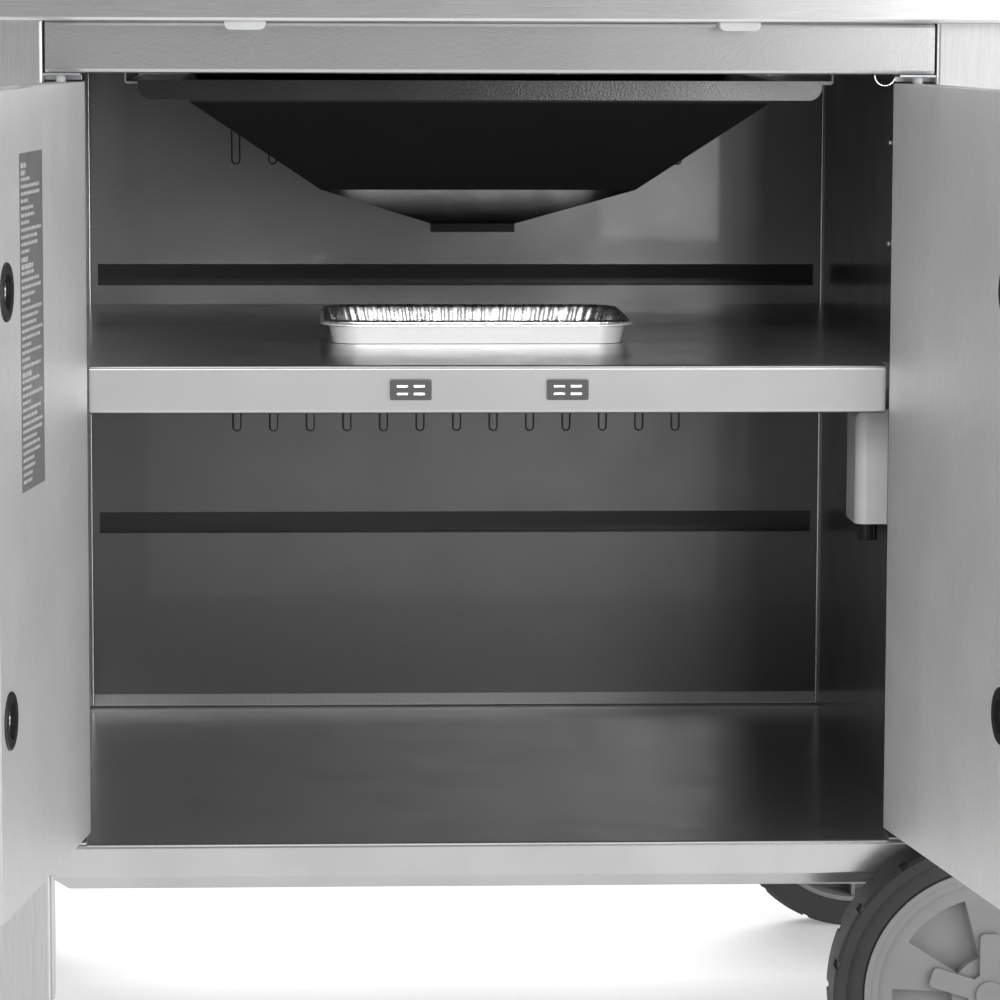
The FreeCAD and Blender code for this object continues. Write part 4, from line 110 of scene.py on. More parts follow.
POLE_FROM_END = 13.5 * MM  # a magnet's middle, from the outer end of its catch
POLE_DEPTH = 0.45 * MM  # below the catch's face
POLE_SPREAD = (5.5 * MM, 2.5 * MM)  # the plates' middles, sideways and up from the magnet's
POLE_HALF = (3.5 * MM, 0.65 * MM)

SEAM_RADIUS = 1.3 * MM
SEAM_INSET = 1.0 * MM
SEAM_FOOT = 25 * MM  # above the back panel's lower edge
SEAM_STEPS = 12

WALL_SCREW_RADIUS = 3.2 * MM
WALL_SCREW_BACK = 5 * MM  # behind the front of the battery housing
WALL_SCREW_RISES = (115 * MM, 185 * MM)  # above the top of the battery housing

LABEL_FROM_HINGE = 142 * MM
LABEL_UP = 247 * MM  # the label's lower edge over the door's
LABEL_SIZE = (70 * MM, 202 * MM)
LABEL_MARGIN = (4 * MM, 6 * MM)
LABEL_PITCH = 4.3 * MM
LABEL_TITLES = (0, 1, 13, 14, 29)  # rows in a bolder and shorter print
LABEL_BARS = (2.0 * MM, 3.0 * MM)  # height of a row's bars, and of a title's
LABEL_WORDS = (3, 11)  # shortest and longest word in mm
LABEL_GAP = 1.1 * MM

DIAL_DEPTH = 10.6 * MM  # from the thermometer's rim down to its dial
DIAL_RADIUS = 29.4 * MM
DIAL_TICKS = 25
DIAL_START, DIAL_STEP = 210, 10  # degrees: the first tick, and from one tick to the next

KNOB_MARK_HALF = 0.8 * MM
KNOB_MARK_REACH = (7 * MM, 20 * MM)  # from the knob's axis


# ---- finishes ------------------------------------------------------------------------------------
class Finish:
    """A procedural material in the making: one Principled shader and the textures that vary it."""

    def __init__(self, name, colour, metallic=0.0, roughness=0.5, **sockets):
        self.material = bpy.data.materials.new(name)
        self.material.use_nodes = True
        self.nodes = self.material.node_tree.nodes
        self.shader = self.nodes["Principled BSDF"]
        self.colour = (*colour, 1.0)
        self.roughness = roughness
        self.normal = None
        self.shader.inputs["Base Color"].default_value = self.colour
        self.shader.inputs["Metallic"].default_value = metallic
        self.shader.inputs["Roughness"].default_value = roughness
        for socket, value in sockets.items():
            self.shader.inputs[socket.replace("_", " ")].default_value = value
        self.space = self.node("TexCoord").outputs["Object"]

    def node(self, kind, **settings):
        node = self.nodes.new("ShaderNode" + kind)
        for name, value in settings.items():
            setattr(node, name, value)
        return node

    def wire(self, source, node, socket):
        self.material.node_tree.links.new(source, node.inputs[socket])

    def placed(self, grain, stretch):
        """Object coordinates counted in grains, drawn out along an axis by its stretch."""
        place = self.node("Mapping")
        place.inputs["Scale"].default_value = [1 / (grain * draw) for draw in stretch]
        self.wire(self.space, place, "Vector")
        return place.outputs["Vector"]

    def noise(self, grain, stretch=(1, 1, 1), detail=2.0):
        texture = self.node("TexNoise")
        texture.inputs["Scale"].default_value = 1.0
        texture.inputs["Detail"].default_value = detail
        self.wire(self.placed(grain, stretch), texture, "Vector")
        return texture.outputs["Fac"]

    def cells(self, grain, stretch=(1, 1, 1), feature="F1"):
        texture = self.node("TexVoronoi", feature=feature)
        texture.inputs["Scale"].default_value = 1.0
        self.wire(self.placed(grain, stretch), texture, "Vector")
        return texture.outputs["Distance"]

    def spread(self, source, start, end, first=0.3, last=0.7):
        """The source between first and last, stretched to run from start to end."""
        reach = self.node("MapRange")
        limits = {"From Min": first, "From Max": last, "To Min": start, "To Max": end}
        for socket, value in limits.items():
            reach.inputs[socket].default_value = value
        self.wire(source, reach, "Value")
        return reach.outputs["Result"]

    def tint(self, source, colour):
        """Blends the colour so far towards another one where the source is 1."""
        mix = self.node("Mix", data_type="RGBA")
        links = self.shader.inputs["Base Color"].links
        if links:
            self.wire(links[0].from_socket, mix, 6)
        else:
            mix.inputs[6].default_value = self.colour
        mix.inputs[7].default_value = (*colour, 1.0)
        self.wire(source, mix, 0)
        self.material.node_tree.links.new(mix.outputs[2], self.shader.inputs["Base Color"])
        return self

    def shade(self, source, amount):
        """Darkens the colour by up to an amount where the source is 1."""
        return self.tint(source, [part * (1 - amount) for part in self.colour[:3]])

    def wear(self, source, change):
        """Adds up to a change to the roughness where the source is 1."""
        rough = self.spread(source, self.roughness, self.roughness + change)
        self.wire(rough, self.shader, "Roughness")
        return self

    def bump(self, height, depth, strength=1.0):
        """Raises the surface by up to a depth in metres, on top of the bumps so far."""
        bump = self.node("Bump")
        bump.inputs["Strength"].default_value = strength
        bump.inputs["Distance"].default_value = depth
        self.wire(height, bump, "Height")
        if self.normal:
            self.wire(self.normal, bump, "Normal")
        self.normal = bump.outputs["Normal"]
        self.wire(self.normal, self.shader, "Normal")
        return self


def grey(value):
    return (value, value, value)


def brushed(name, colour, roughness, stretch, streak=0.14, **sockets):
    """Stainless sheet with fine lines drawn out along one axis, and faint smudges."""
    finish = Finish(name, colour, 1.0, roughness, **sockets)
    lines = finish.noise(0.4 * MM, stretch, 3.0)
    bands = finish.noise(7 * MM, stretch, 2.0)
    smudges = finish.noise(60 * MM, detail=4.0)
    finish.shade(finish.spread(lines, 0.0, 1.0, 0.35, 0.65), streak)
    finish.shade(finish.spread(bands, 0.0, 0.2), streak)
    finish.wear(smudges, 0.03)
    finish.bump(lines, 0.012 * MM)
    return finish


def peeled(name, colour, roughness, grain, depth, **sockets):
    """Baked paint or enamel with orange peel, and a little dust and unevenness."""
    finish = Finish(name, colour, 0.0, roughness, **sockets)
    dust = finish.noise(45 * MM, detail=5.0)
    finish.shade(finish.spread(dust, 0.0, 1.0), 0.08)
    finish.wear(dust, 0.05)
    finish.bump(finish.noise(grain, detail=1.0), depth)
    return finish


def moulded(name, colour, roughness, grain=0.35 * MM, depth=0.02 * MM, **sockets):
    """Moulded plastic or rubber with a fine spark-eroded grain."""
    finish = Finish(name, colour, 0.0, roughness, **sockets)
    cloud = finish.noise(25 * MM, detail=4.0)
    finish.shade(finish.spread(cloud, 0.0, 1.0), 0.10)
    finish.wear(cloud, 0.08)
    finish.bump(finish.noise(grain, detail=2.0), depth)
    return finish


def plated(name, colour, roughness, **sockets):
    """Plated or machined metal with a cloudy surface and fine scratches."""
    finish = Finish(name, colour, 1.0, roughness, **sockets)
    cloud = finish.noise(12 * MM, detail=4.0)
    scratches = finish.noise(0.8 * MM, (1, 14, 14), 2.0)
    finish.shade(finish.spread(cloud, 0.0, 1.0), 0.22)
    finish.wear(cloud, 0.14)
    finish.bump(scratches, 0.01 * MM)
    return finish


def cast(name, colour, roughness, grain, depth, **sockets):
    """A painted or seasoned casting with the grain of its sand mould."""
    finish = Finish(name, colour, 0.0, roughness, **sockets)
    grit = finish.noise(grain, detail=4.0)
    cloud = finish.noise(40 * MM, detail=4.0)
    finish.tint(finish.spread(grit, 0.0, 0.5, 0.45, 0.75), [3 * part for part in colour])
    finish.wear(cloud, 0.15)
    finish.bump(grit, depth)
    return finish


def funnel_enamel():
    """Black enamel, glossy on the upright lip and dull on the slopes, where grease hangs on it."""
    finish = peeled("black_enamel", grey(0.006), 0.17, 1.3 * MM, 0.05 * MM)
    parts = finish.node("SeparateXYZ")
    finish.wire(finish.node("NewGeometry").outputs["Normal"], parts, "Vector")
    height = finish.node("SeparateXYZ")
    finish.wire(finish.space, height, "Vector")
    both = finish.node("Math", operation="MULTIPLY")
    finish.wire(finish.spread(parts.outputs["Z"], 0.0, 1.0, -0.30, -0.05), both, 0)
    lip = finish.spread(height.outputs["Z"], 0.0, 1.0, LIP_LOW - 2 * MM, LIP_LOW)
    finish.wire(lip, both, 1)
    gloss = finish.spread(both.outputs[0], 0.10, 0.6, 0.0, 1.0)
    finish.wire(gloss, finish.shader, "Specular IOR Level")
    return finish


def crinkled_foil():
    """Aluminium foil: bright, with fine creases."""
    finish = Finish("foil", grey(0.95), 1.0, 0.24)
    finish.bump(finish.cells(3.5 * MM), 0.10 * MM, 0.5)
    finish.bump(finish.noise(1.2 * MM, detail=3.0), 0.12 * MM)
    finish.wear(finish.noise(6 * MM), 0.12)
    return finish


ALONG_X = (80, 1, 1)
ALONG_Y = (1, 80, 1)
ALONG_Z = (1, 1, 80)

FINISHES = {
    "frame_steel": brushed("frame_steel", grey(0.60), 0.34, ALONG_Z),
    "door_steel": brushed("door_steel", grey(0.66), 0.50, (1, 1, 24), 0.12, Anisotropic=0.7),
    "panel_steel": brushed("panel_steel", grey(0.80), 0.22, ALONG_X),
    "lid_steel": brushed("lid_steel", grey(0.62), 0.26, ALONG_X),
    "handle_steel": brushed("handle_steel", grey(0.60), 0.28, (6, 6, 6)),
    "table_steel": brushed("table_steel", grey(0.58), 0.30, ALONG_X),
    "burner_steel": brushed("burner_steel", (0.42, 0.40, 0.37), 0.38, ALONG_Y, 0.3),
    "light_enamel": peeled(
        "light_enamel", grey(0.60), 0.22, 1.5 * MM, 0.03 * MM, Metallic=0.9, Coat_Weight=0.1
    ),
    "dark_paint": peeled(
        "dark_paint", (0.145, 0.145, 0.147), 0.30, 1.8 * MM, 0.025 * MM,
        Metallic=0.55, Coat_Weight=0.2,
    ),
    "black_enamel": funnel_enamel(),
    "black_paint": peeled("black_paint", grey(0.02), 0.38, 0.9 * MM, 0.03 * MM),
    "white_enamel": peeled("white_enamel", grey(0.90), 0.30, 1.5 * MM, 0.01 * MM, Metallic=0.5),
    "bright_zinc": plated("bright_zinc", (0.72, 0.73, 0.75), 0.28),
    "spring_wire": plated("spring_wire", grey(0.74), 0.16),
    "knob_metal": plated("knob_metal", grey(0.60), 0.24),
    "brass": plated("brass", (0.62, 0.46, 0.20), 0.26),
    "foil": crinkled_foil(),
    "cast_iron": cast("cast_iron", grey(0.018), 0.62, 0.9 * MM, 0.14 * MM),
    "cast_aluminium": cast("cast_aluminium", grey(0.022), 0.46, 0.7 * MM, 0.08 * MM),
    "white_nylon": moulded("white_nylon", (0.62, 0.62, 0.61), 0.38, Subsurface_Weight=0.1),
    "grey_plastic": moulded("grey_plastic", grey(0.13), 0.45),
    "light_plastic": moulded("light_plastic", grey(0.42), 0.40, 0.5 * MM),
    "black_plastic": moulded("black_plastic", grey(0.016), 0.36),
    "button_plastic": moulded(
        "button_plastic", grey(0.018), 0.18, 0.6 * MM, 0.005 * MM, Coat_Weight=0.5
    ),
    "wheel_plastic": moulded("wheel_plastic", grey(0.22), 0.42, 0.6 * MM, 0.02 * MM),
    "tyre": moulded("tyre", grey(0.032), 0.55, 0.8 * MM, 0.04 * MM, Specular_IOR_Level=0.4),
    "caster_rubber": moulded("caster_rubber", grey(0.028), 0.50, 0.6 * MM, 0.03 * MM),
}


def dress_frame():
    """Gives every CAD node the finish of its material slot."""
    for subpart in frame["record"]["subparts"]:
        node = frame["nodes"][subpart["node"]]
        finish = FINISHES[subpart["material_slot"]].material
        if not node.material_slots:
            node.data.materials.append(finish)
        for place in node.material_slots:
            place.material = finish


# ---- pieces that the frame leaves to this script -------------------------------------------------
def piece(name, points, faces, body, slot, finish=None, smooth=True):
    """A mesh that rides on a body, in the finish of its slot unless it is given another."""
    mesh = bpy.data.meshes.new(name)
    mesh.from_pydata(points, [], faces)
    mesh.materials.append((finish or FINISHES[slot]).material)
    for face in mesh.polygons:
        face.use_smooth = smooth
    made = bpy.data.objects.new(name, mesh)
    bpy.context.scene.collection.objects.link(made)
    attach(made, body)
    return made


def thicken(made, depth):
    """Gives a sheet its thickness, half to each side."""
    solid = made.modifiers.new("thickness", "SOLIDIFY")
    solid.thickness = depth
    solid.offset = 0.0


def soften(node, width):
    """Rounds the sharp edges of a CAD node so that they catch the light."""
    weld = node.modifiers.new("weld", "WELD")
    weld.merge_threshold = 0.005 * MM
    bevel = node.modifiers.new("edges", "BEVEL")
    bevel.width = width
    bevel.segments = 2
    bevel.limit_method = "ANGLE"
    bevel.angle_limit = math.radians(35)


def rounded_outline(half_x, half_y, corner, count):
    """Points evenly spread round a rounded rectangle, each with its outward direction."""
    flat_x, flat_y = 2 * (half_x - corner), 2 * (half_y - corner)
    side_x, side_y = flat_x / 2, flat_y / 2
    arc = math.pi * corner / 2
    # the length of each side, its start, its heading and the hub of the arc after it
    sides = (
        (flat_y, Vector((half_x, -side_y)), Vector((0, 1)), Vector((half_x - corner, side_y))),
        (flat_x, Vector((side_x, half_y)), Vector((-1, 0)), Vector((-side_x, half_y - corner))),
        (flat_y, Vector((-half_x, side_y)), Vector((0, -1)), Vector((corner - half_x, -side_y))),
        (flat_x, Vector((-side_x, -half_y)), Vector((1, 0)), Vector((side_x, corner - half_y))),
    )
    step = (2 * flat_x + 2 * flat_y + 4 * arc) / count
    outline = []
    for i in range(count):
        along = i * step
        for length, start, heading, hub in sides:
            outward = Vector((heading.y, -heading.x))
            if along < length:
                outline.append((start + heading * along, outward))
                break
            along -= length
            if along < arc:
                turn = along / corner
                out = outward * math.cos(turn) + heading * math.sin(turn)
                outline.append((hub + out * corner, out))
                break
            along -= arc
    return outline


def ring_faces(ring, count):
    """The faces between a ring of points and the next one."""
    start = ring * count
    turns = [(start + i, start + (i + 1) % count) for i in range(count)]
    return [(a, b, b + count, a + count) for a, b in turns]


def foil_tub():
    """The foil liner: a flat floor, pleated walls and a crinkled, rolled rim."""
    floor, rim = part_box("foil_liner")
    half = (rim - floor) / 2
    centre = (rim + floor) / 2
    height = rim.z - floor.z
    # inset from the rim's edge, height above the floor, pleat depth and crinkle depth
    rings = (
        (60.0, 0.2, 0.0, 0.10),
        (30.0, 0.2, 0.0, 0.15),
        (13.0, 0.2, 0.1, 0.10),
        (9.8, 0.5, 0.4, 0.05),
        (9.0, 2.0, 0.8, 0.05),
        (8.0, 5.5, 1.0, 0.05),
        (7.0, 9.5, 1.1, 0.05),
        (6.0, 13.2, 0.9, 0.10),
        (5.2, 14.6, 0.5, 0.20),
        (4.0, 15.2, 0.3, 0.30),
        (2.4, 15.3, 0.3, 0.35),
        (1.0, 14.8, 0.3, 0.35),
        (0.5, 13.8, 0.3, 0.30),
        (1.2, 12.8, 0.2, 0.20),
    )
    pleat = 0
    pleats = []
    while len(pleats) < FOIL_POINTS:
        width = RANDOM.choice((3, 4, 4, 5))
        depth = RANDOM.uniform(0.5, 1.0) * (1 if pleat % 2 else -1)
        for i in range(width):
            pleats.append(depth * math.sin(math.pi * (i + 0.5) / width))
        pleat += 1
    points = []
    for inset, up, pleat_depth, crinkle in rings:
        corner = (FOIL_CORNER - FOIL_CORNER_SHRINK * inset) * MM
        outline = rounded_outline(half.x - inset * MM, half.y - inset * MM, corner, FOIL_POINTS)
        for i, (place, out) in enumerate(outline):
            shift = (pleats[i] * pleat_depth * 0.5) * MM
            lift = crinkle * RANDOM.uniform(-1, 1) * MM
            spot = place + out * (shift - 0.4 * MM)
            level = floor.z + up * MM * height / FOIL_HEIGHT + lift
            points.append((centre.x + spot.x, centre.y + spot.y, level))
    points.append((centre.x, centre.y, floor.z + 0.2 * MM))
    faces = []
    for ring in range(len(rings) - 1):
        faces += ring_faces(ring, FOIL_POINTS)
    for i in range(FOIL_POINTS):
        faces.append((len(points) - 1, (i + 1) % FOIL_POINTS, i))
    made = piece("foil_tub", points, faces, "catch_pan", "foil")
    thicken(made, FOIL_THICKNESS)
    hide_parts("foil_liner")


def polar_grid(place, radii, heights, count, recess=None):
    """A round cap of rings about a placement matrix; recess gives how far a point sinks."""
    points = []
    for radius, height in zip(radii, heights):
        for i in range(count):
            turn = 2 * math.pi * i / count
            x, y = radius * math.cos(turn), radius * math.sin(turn)
            sink = recess(x, y) if recess else 0.0
            points.append(place @ Vector((x, y, height - sink)))
    points.append(place @ Vector((0, 0, heights[-1] - (recess(0, 0) if recess else 0.0))))
    faces = []
    for ring in range(len(radii) - 1):
        faces += ring_faces(ring, count)
    last = (len(radii) - 1) * count
    for i in range(count):
        faces.append((last + i, last + (i + 1) % count, len(points) - 1))
    return points, faces


def facing(place, direction, upright=Vector((0, 0, 1))):
    """A placement whose local Z points along a direction, with local Y as upright as can be."""
    z = direction.normalized()
    x = upright.cross(z).normalized()
    y = z.cross(x)
    return Matrix.Translation(place) @ Matrix((x, y, z)).transposed().to_4x4()


def cross_screw(name, place, direction, radius, body, slot):
    """A pan-head screw with a cross recess."""
    arm, reach = 0.17 * radius, 0.62 * radius

    def recess(x, y):
        inside = (abs(x) < arm and abs(y) < reach) or (abs(y) < arm and abs(x) < reach)
        return 0.35 * radius if inside else 0.0

    radii = [radius * wide for wide, _ in SCREW_PROFILE]
    heights = [radius * up for _, up in SCREW_PROFILE]
    points, faces = polar_grid(facing(place, direction), radii, heights, 48, recess)
    return piece(name, points, faces, body, slot)


def door_inward(side):
    """Which way the inner face of an open door looks; side is -1 for the left door."""
    turn = math.radians(-min(joint("left_door")["range_deg"]))
    return Vector((-side * math.sin(turn), math.cos(turn), 0))


def flange_centres(node, inward):
    """The middle of each of a node's two flanges, one above the other."""
    spots = [vertex.co.copy() for vertex in frame["nodes"][node].data.vertices]
    top = max(spot.dot(inward) for spot in spots)
    face = [spot for spot in spots if spot.dot(inward) > top - 0.05 * MM]
    split = sum(spot.z for spot in face) / len(face)
    centres = []
    for half in ([s for s in face if s.z < split], [s for s in face if s.z >= split]):
        centres.append(sum(half, Vector()) / len(half))
    return centres


def door_screws():
    """The handles' screws, each in a cup at the bottom of its grommet."""
    for side, door in ((-1, "left_door"), (1, "right_door")):
        inward = door_inward(side)
        for i, centre in enumerate(flange_centres(door + "_grommets", inward)):
            seat = centre - inward * SCREW_DEPTH
            cross_screw(f"{door}_screw_{i}", seat, inward, SCREW_RADIUS, door, "bright_zinc")
            radii = [wide * MM for wide, _ in CUP_PROFILE]
            heights = [up * MM for _, up in CUP_PROFILE]
            points, faces = polar_grid(facing(seat, inward), radii, heights, 64)
            piece(f"{door}_screw_cup_{i}", points, faces, door, "grey_plastic")


def plate_on(place, across, up):
    """The corners of a flat rectangle: local x from across[0] to across[1], local y likewise."""
    return [
        place @ Vector((x, y, 0))
        for x, y in ((across[0], up[0]), (across[1], up[0]), (across[1], up[1]), (across[0], up[1]))
    ]


def add_plate(points, faces, corners):
    """Adds a four-cornered face to lists of points and faces."""
    faces.append(tuple(range(len(points), len(points) + 4)))
    points += corners


def magnet_poles():
    """The bright pole plates in the slots of the magnetic catches."""
    first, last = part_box("magnet_catches")
    points, faces = [], []
    for x in (first.x + POLE_FROM_END, last.x - POLE_FROM_END):
        centre = Vector((x, first.y + POLE_DEPTH, (first.z + last.z) / 2))
        place = facing(centre, Vector((0, -1, 0)))
        for across in (-POLE_SPREAD[0], POLE_SPREAD[0]):
            for up in (-POLE_SPREAD[1], POLE_SPREAD[1]):
                wide = (across - POLE_HALF[0], across + POLE_HALF[0])
                tall = (up - POLE_HALF[1], up + POLE_HALF[1])
                add_plate(points, faces, plate_on(place, wide, tall))
    piece("magnet_poles", points, faces, "cabinet", "bright_zinc", None, False)


def corner_seams():
    """The rolled edges where the side panels meet the back panel, in the pale enamel instead of the
    panels' dark paint so that each reads as a bright line: a painted highlight on a real edge,
    which also catches the lamps.
    """
    x = high("back_panel").x - SEAM_INSET
    y = low("back_panel").y + 0.6 * MM
    foot, top = low("back_panel").z + SEAM_FOOT, high("back_panel").z
    heights = [foot + (top - foot) * k / SEAM_STEPS for k in range(SEAM_STEPS + 1)]
    for name, side in (("left", -1), ("right", 1)):
        path = [Vector((side * x, y, z)) for z in heights]
        # painted highlight: the pale enamel stands in for the line of light along the corner, whose
        # own paint is dark
        wire_path(name + "_corner_seam", path, SEAM_RADIUS, "cabinet", "light_enamel", 12)


def wall_screws():
    """Two small screws that hold the igniter's bracket on the right side panel."""
    housing, wall = low("igniter_battery_box"), high("igniter_battery_box")
    for i, rise in enumerate(WALL_SCREW_RISES):
        place = Vector((wall.x, housing.y + WALL_SCREW_BACK, wall.z + rise))
        left = Vector((-1, 0, 0))
        cross_screw(f"wall_screw_{i}", place, left, WALL_SCREW_RADIUS, "cabinet", "bright_zinc")


def door_label():
    """The data label on the left door's inner face, with bars where the words would be."""
    inward = door_inward(-1)
    inner = frame["nodes"]["left_door_inner"].data.vertices
    hinge = max((v.co for v in inner), key=lambda spot: spot.y + spot.dot(inward))
    along = inward.cross(Vector((0, 0, 1)))
    if along.y > 0:
        along = -along
    face = hinge.dot(inward) + 0.06 * MM
    bottom = low("left_door_inner").z
    edge = Vector((hinge.x, hinge.y, bottom))
    corner = edge + along * LABEL_FROM_HINGE + Vector((0, 0, LABEL_UP))
    corner += inward * (face - corner.dot(inward))
    place = facing(corner, inward)
    if (place.to_3x3() @ Vector((1, 0, 0))).dot(along) < 0:
        place = facing(corner + along * LABEL_SIZE[0], inward)
    ground = Finish("label_ground", grey(0.20), 0.0, 0.42)
    ground.shade(ground.noise(9 * MM, detail=4.0), 0.2)
    ground.wear(ground.noise(20 * MM), 0.1)
    ink = Finish("label_ink", grey(0.62), 0.0, 0.5)
    ink.shade(ink.noise(0.8 * MM, detail=3.0), 0.35)
    sheet = plate_on(place, (0, LABEL_SIZE[0]), (0, LABEL_SIZE[1]))
    piece("door_label", sheet, [(0, 1, 2, 3)], "left_door", "black_plastic", ground, False)
    points, faces = [], []
    print_face = place @ Matrix.Translation((0, 0, 0.03 * MM))
    row = LABEL_SIZE[1] - LABEL_MARGIN[1]
    count = 0
    while row > LABEL_MARGIN[1]:
        title = count in LABEL_TITLES
        left = LABEL_MARGIN[0]
        full = LABEL_SIZE[0] - 2 * LABEL_MARGIN[0]
        end = left + full * RANDOM.uniform(0.35, 1.0) * (0.6 if title else 1.0)
        while left < end:
            word = min(RANDOM.uniform(*LABEL_WORDS) * MM, end - left)
            bar = (row - LABEL_BARS[title], row)
            add_plate(points, faces, plate_on(print_face, (left, left + word), bar))
            left += word + LABEL_GAP
        row -= LABEL_PITCH
        count += 1
    piece("door_label_words", points, faces, "left_door", "white_nylon", ink, False)


def wire_path(name, path, radius, body, slot, sides=8):
    """A round wire along a path of points."""
    points, faces = [], []
    for i, spot in enumerate(path):
        ahead = (path[min(i + 1, len(path) - 1)] - path[max(i - 1, 0)]).normalized()
        sideways = ahead.cross(Vector((0.13, 0.31, 0.94))).normalized()
        other = ahead.cross(sideways)
        for k in range(sides):
            turn = 2 * math.pi * k / sides
            points.append(spot + (sideways * math.cos(turn) + other * math.sin(turn)) * radius)
    for i in range(len(path) - 1):
        faces += ring_faces(i, sides)
    return piece(name, points, faces, body, slot)


def match_coil():
    """The match holder: a ring of wire that runs on into a close coil."""
    first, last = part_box("match_holder")
    centre = (first + last) / 2
    wire = 0.7 * MM
    ring = (last.z - first.z) / 2 - wire
    hub = Vector((first.x + ring + wire, centre.y, centre.z))
    path = []
    for i in range(73):
        turn = math.radians(-5 + 5 * i)
        path.append(hub + Vector((math.cos(turn), 0.0, math.sin(turn))) * ring)
    coil = 2.5 * MM
    start = hub.x + ring
    turns = 8
    steps = 20
    for i in range(1, turns * steps + 1):
        turn = 2 * math.pi * i / steps
        x = start + (last.x - start) * i / (turns * steps)
        across = centre.y + coil * math.sin(turn)
        up = centre.z - 1.0 * MM + coil * math.cos(turn)
        path.append(Vector((x, across, up)))
    made = wire_path("match_coil", path, wire, "cabinet", "spring_wire")
    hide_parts("match_holder")


def gauge_face():
    """The thermometer's dial: a pale face with ticks, every fourth one longer and bolder."""
    hinge = joint("thermometer_pointer")
    out = -Vector(hinge["axis"]).normalized()
    centre = Vector(hinge["pos_m"])
    rim = max(vertex.co.dot(out) for vertex in frame["nodes"]["thermometer"].data.vertices)
    place = facing(centre - out * (centre.dot(out) - rim) - out * DIAL_DEPTH, out)
    face = Finish("dial_face", grey(0.80), 0.0, 0.45)
    face.shade(face.noise(14 * MM, detail=4.0), 0.06)
    marks = Finish("dial_marks", grey(0.03), 0.0, 0.5)
    marks.shade(marks.noise(2 * MM), 0.2)
    radii = [DIAL_RADIUS * k / 6 for k in (6, 4, 2)]
    points, faces = polar_grid(place, radii, [0.0, 0.0, 0.0], 64)
    piece("dial_face", points, faces, "lid", "white_nylon", face, False)
    points, faces = [], []
    lift = Vector((0, 0, 0.1 * MM))
    for i in range(DIAL_TICKS):
        turn = math.radians(DIAL_START - DIAL_STEP * i)
        bold = i % 4 == 0
        along = Vector((math.cos(turn), math.sin(turn), 0))
        side = Vector((-along.y, along.x, 0)) * (0.55 if bold else 0.3) * MM
        near = along * DIAL_RADIUS * (0.78 if bold else 0.86)
        far = along * DIAL_RADIUS * 0.95
        corners = (near - side, near + side, far + side, far - side)
        add_plate(points, faces, [place @ (corner + lift) for corner in corners])
    piece("dial_marks", points, faces, "lid", "black_plastic", marks, False)


def knob_marks():
    """A dark line on the grip of each knob."""
    normal = Vector(joint("middle_knob_turn")["axis"])
    normal = -normal if normal.y > 0 else normal
    paint = Finish("knob_paint", grey(0.03), 0.0, 0.5)
    paint.shade(paint.noise(2 * MM), 0.2)
    for name in ("left_knob", "middle_knob", "right_knob"):
        top = max(vertex.co.dot(normal) for vertex in frame["nodes"][name].data.vertices)
        centre = middle(name)
        centre = centre + normal * (top + 0.05 * MM - centre.dot(normal))
        across = (-KNOB_MARK_HALF, KNOB_MARK_HALF)
        corners = plate_on(facing(centre, normal), across, KNOB_MARK_REACH)
        piece(name + "_mark", corners, [(0, 1, 2, 3)], name, "black_plastic", paint, False)


# ---- light, floor and camera ---------------------------------------------------------------------
FLOOR_SIZE = 60.0
FLOOR_GLOW = 0.25
SKY = grey(0.9)
SKY_STRENGTH = 0.30

# name, place, size, watts, what it points at, and the pieces it lights (all, if none is named)
LAMPS = (
    ("front", (1.5, -3.2, 1.3), (1.6, 1.6), 26, (0.0, 0.0, 0.5), ()),
    ("left", (-2.3, -1.7, 0.9), (1.2, 1.6), 24, (0.25, -0.25, 0.45), ()),
    ("right", (2.3, -1.7, 0.9), (1.2, 1.6), 34, (-0.25, -0.25, 0.45), ()),
    ("top", (0.0, -0.9, 3.2), (3.0, 3.0), 32, (0.0, 0.0, 0.5), ()),
    ("rear", (0.0, 3.0, 2.2), (3.0, 1.6), 90, (0.0, 0.6, 0.0), ()),
    ("patch", (0.64, -3.1, 0.85), (0.56, 1.0), 16, (0.1, 0.3, 0.55),
     ("back_panel", "side_panels", "grease_tray", "left_corner_seam", "right_corner_seam")),
    ("inside", (0.0, -2.5, 0.9), (1.2, 0.5), 75, (0.0, 0.1, 0.48),
     ("catch_pan", "foil_tub", "igniter_battery_box", "match_coil", "magnet_poles")),
    ("lip", (0.0, -2.5, 0.9), (1.2, 0.5), 7, (0.0, 0.1, 0.48), ("middle_shelf",)),
)

SENSOR = 36.0
LENS = 153.13
HEADING = math.radians(2.80)  # to the right
DROP = math.radians(6.79)  # downwards
ROLL = math.radians(0.19)
EYE = (-127.2 * MM, FRONT_Y - 2724.3 * MM, 744.7 * MM)


def softbox(name, at, size, watts, aim):
    light = bpy.data.lights.new(name, "AREA")
    light.shape = "RECTANGLE"
    light.size, light.size_y = size
    light.energy = watts
    lamp = bpy.data.objects.new(name, light)
    lamp.location = at
    lamp.rotation_euler = (Vector(aim) - Vector(at)).to_track_quat("-Z", "Y").to_euler()
    bpy.context.scene.collection.objects.link(lamp)
    return lamp


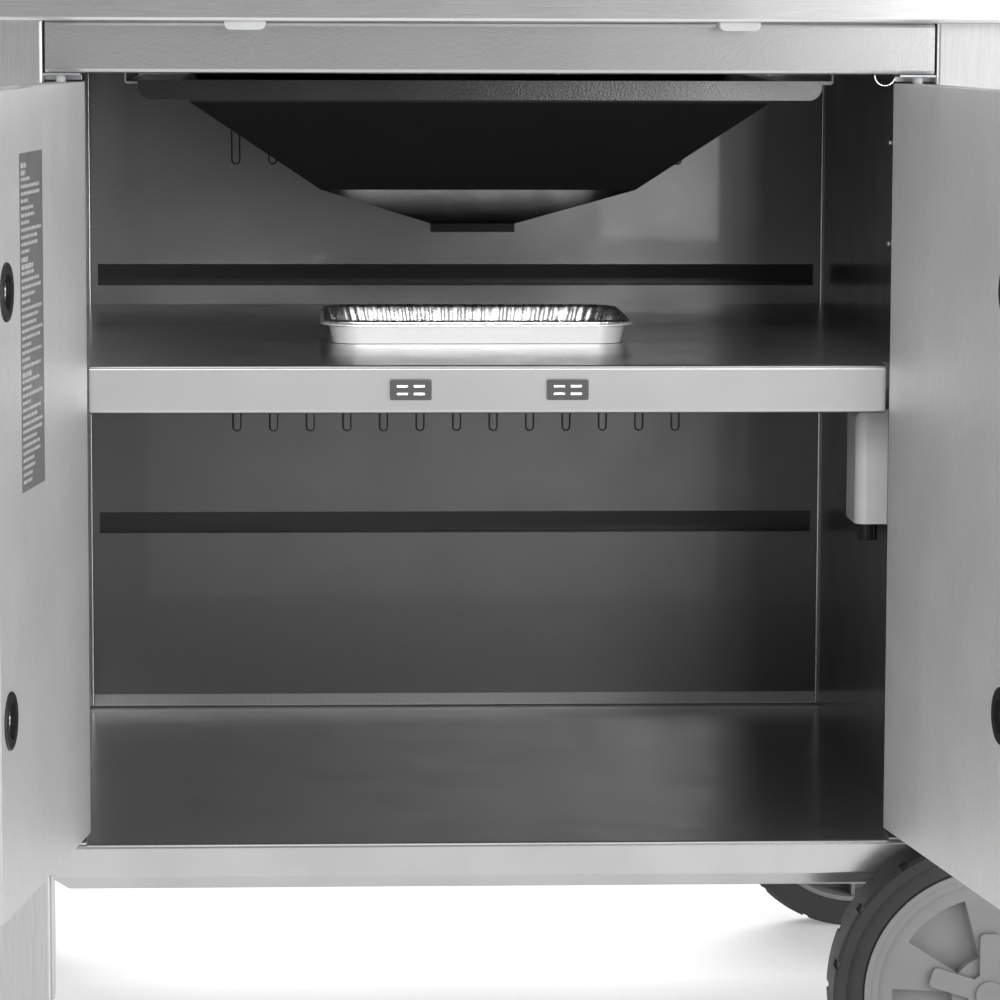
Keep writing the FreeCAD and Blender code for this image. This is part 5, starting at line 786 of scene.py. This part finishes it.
def lights_only(lamp, names):
    """Keeps a lamp's light to the named pieces, as flags on a set would."""
    lit = bpy.data.collections.new(lamp.name + "_receivers")
    for name in names:
        lit.objects.link(bpy.data.objects[name])
    lamp.light_linking.receiver_collection = lit


def studio():
    """A pale floor and soft lights round the grill."""
    bpy.ops.mesh.primitive_plane_add(size=FLOOR_SIZE)
    floor = bpy.context.object
    floor.name = "studio_floor"
    finish = Finish("studio_floor", grey(0.90), 0.0, 0.6)
    finish.shade(finish.noise(0.4), 0.02)
    finish.shader.inputs["Emission Color"].default_value = (1, 1, 1, 1)
    finish.shader.inputs["Emission Strength"].default_value = FLOOR_GLOW
    floor.data.materials.append(finish.material)
    world = bpy.data.worlds.new("studio")
    world.use_nodes = True
    sky = world.node_tree.nodes["Background"].inputs
    sky["Color"].default_value = (*SKY, 1.0)
    sky["Strength"].default_value = SKY_STRENGTH
    bpy.context.scene.world = world
    for name, place, size, watts, aim, lit in LAMPS:
        lamp = softbox(name, place, size, watts, aim)
        if lit:
            lights_only(lamp, lit)


def camera():
    """Looks down and a little to the right into the open cabinet, through a long lens."""
    data = bpy.data.cameras.new("camera")
    data.sensor_width = SENSOR
    data.lens = LENS
    data.clip_start = 0.05
    data.clip_end = 200.0
    flat = math.cos(DROP)
    ahead = Vector((math.sin(HEADING) * flat, math.cos(HEADING) * flat, -math.sin(DROP)))
    level = ahead.cross(Vector((0, 0, 1))).normalized()
    right = level * math.cos(ROLL) + level.cross(ahead) * math.sin(ROLL)
    up = right.cross(ahead)
    turn = Matrix((right, up, -ahead)).transposed()
    eye = bpy.data.objects.new("camera", data)
    eye.matrix_world = Matrix.Translation(EYE) @ turn.to_4x4()
    bpy.context.scene.collection.objects.link(eye)
    bpy.context.scene.camera = eye


dress_frame()
for softened, width in EDGES.items():
    soften(frame["nodes"][softened], width)
foil_tub()
door_screws()
door_label()
match_coil()
gauge_face()
knob_marks()
magnet_poles()
corner_seams()
wall_screws()
studio()
camera()
bpy.context.scene.view_settings.view_transform = "Standard"
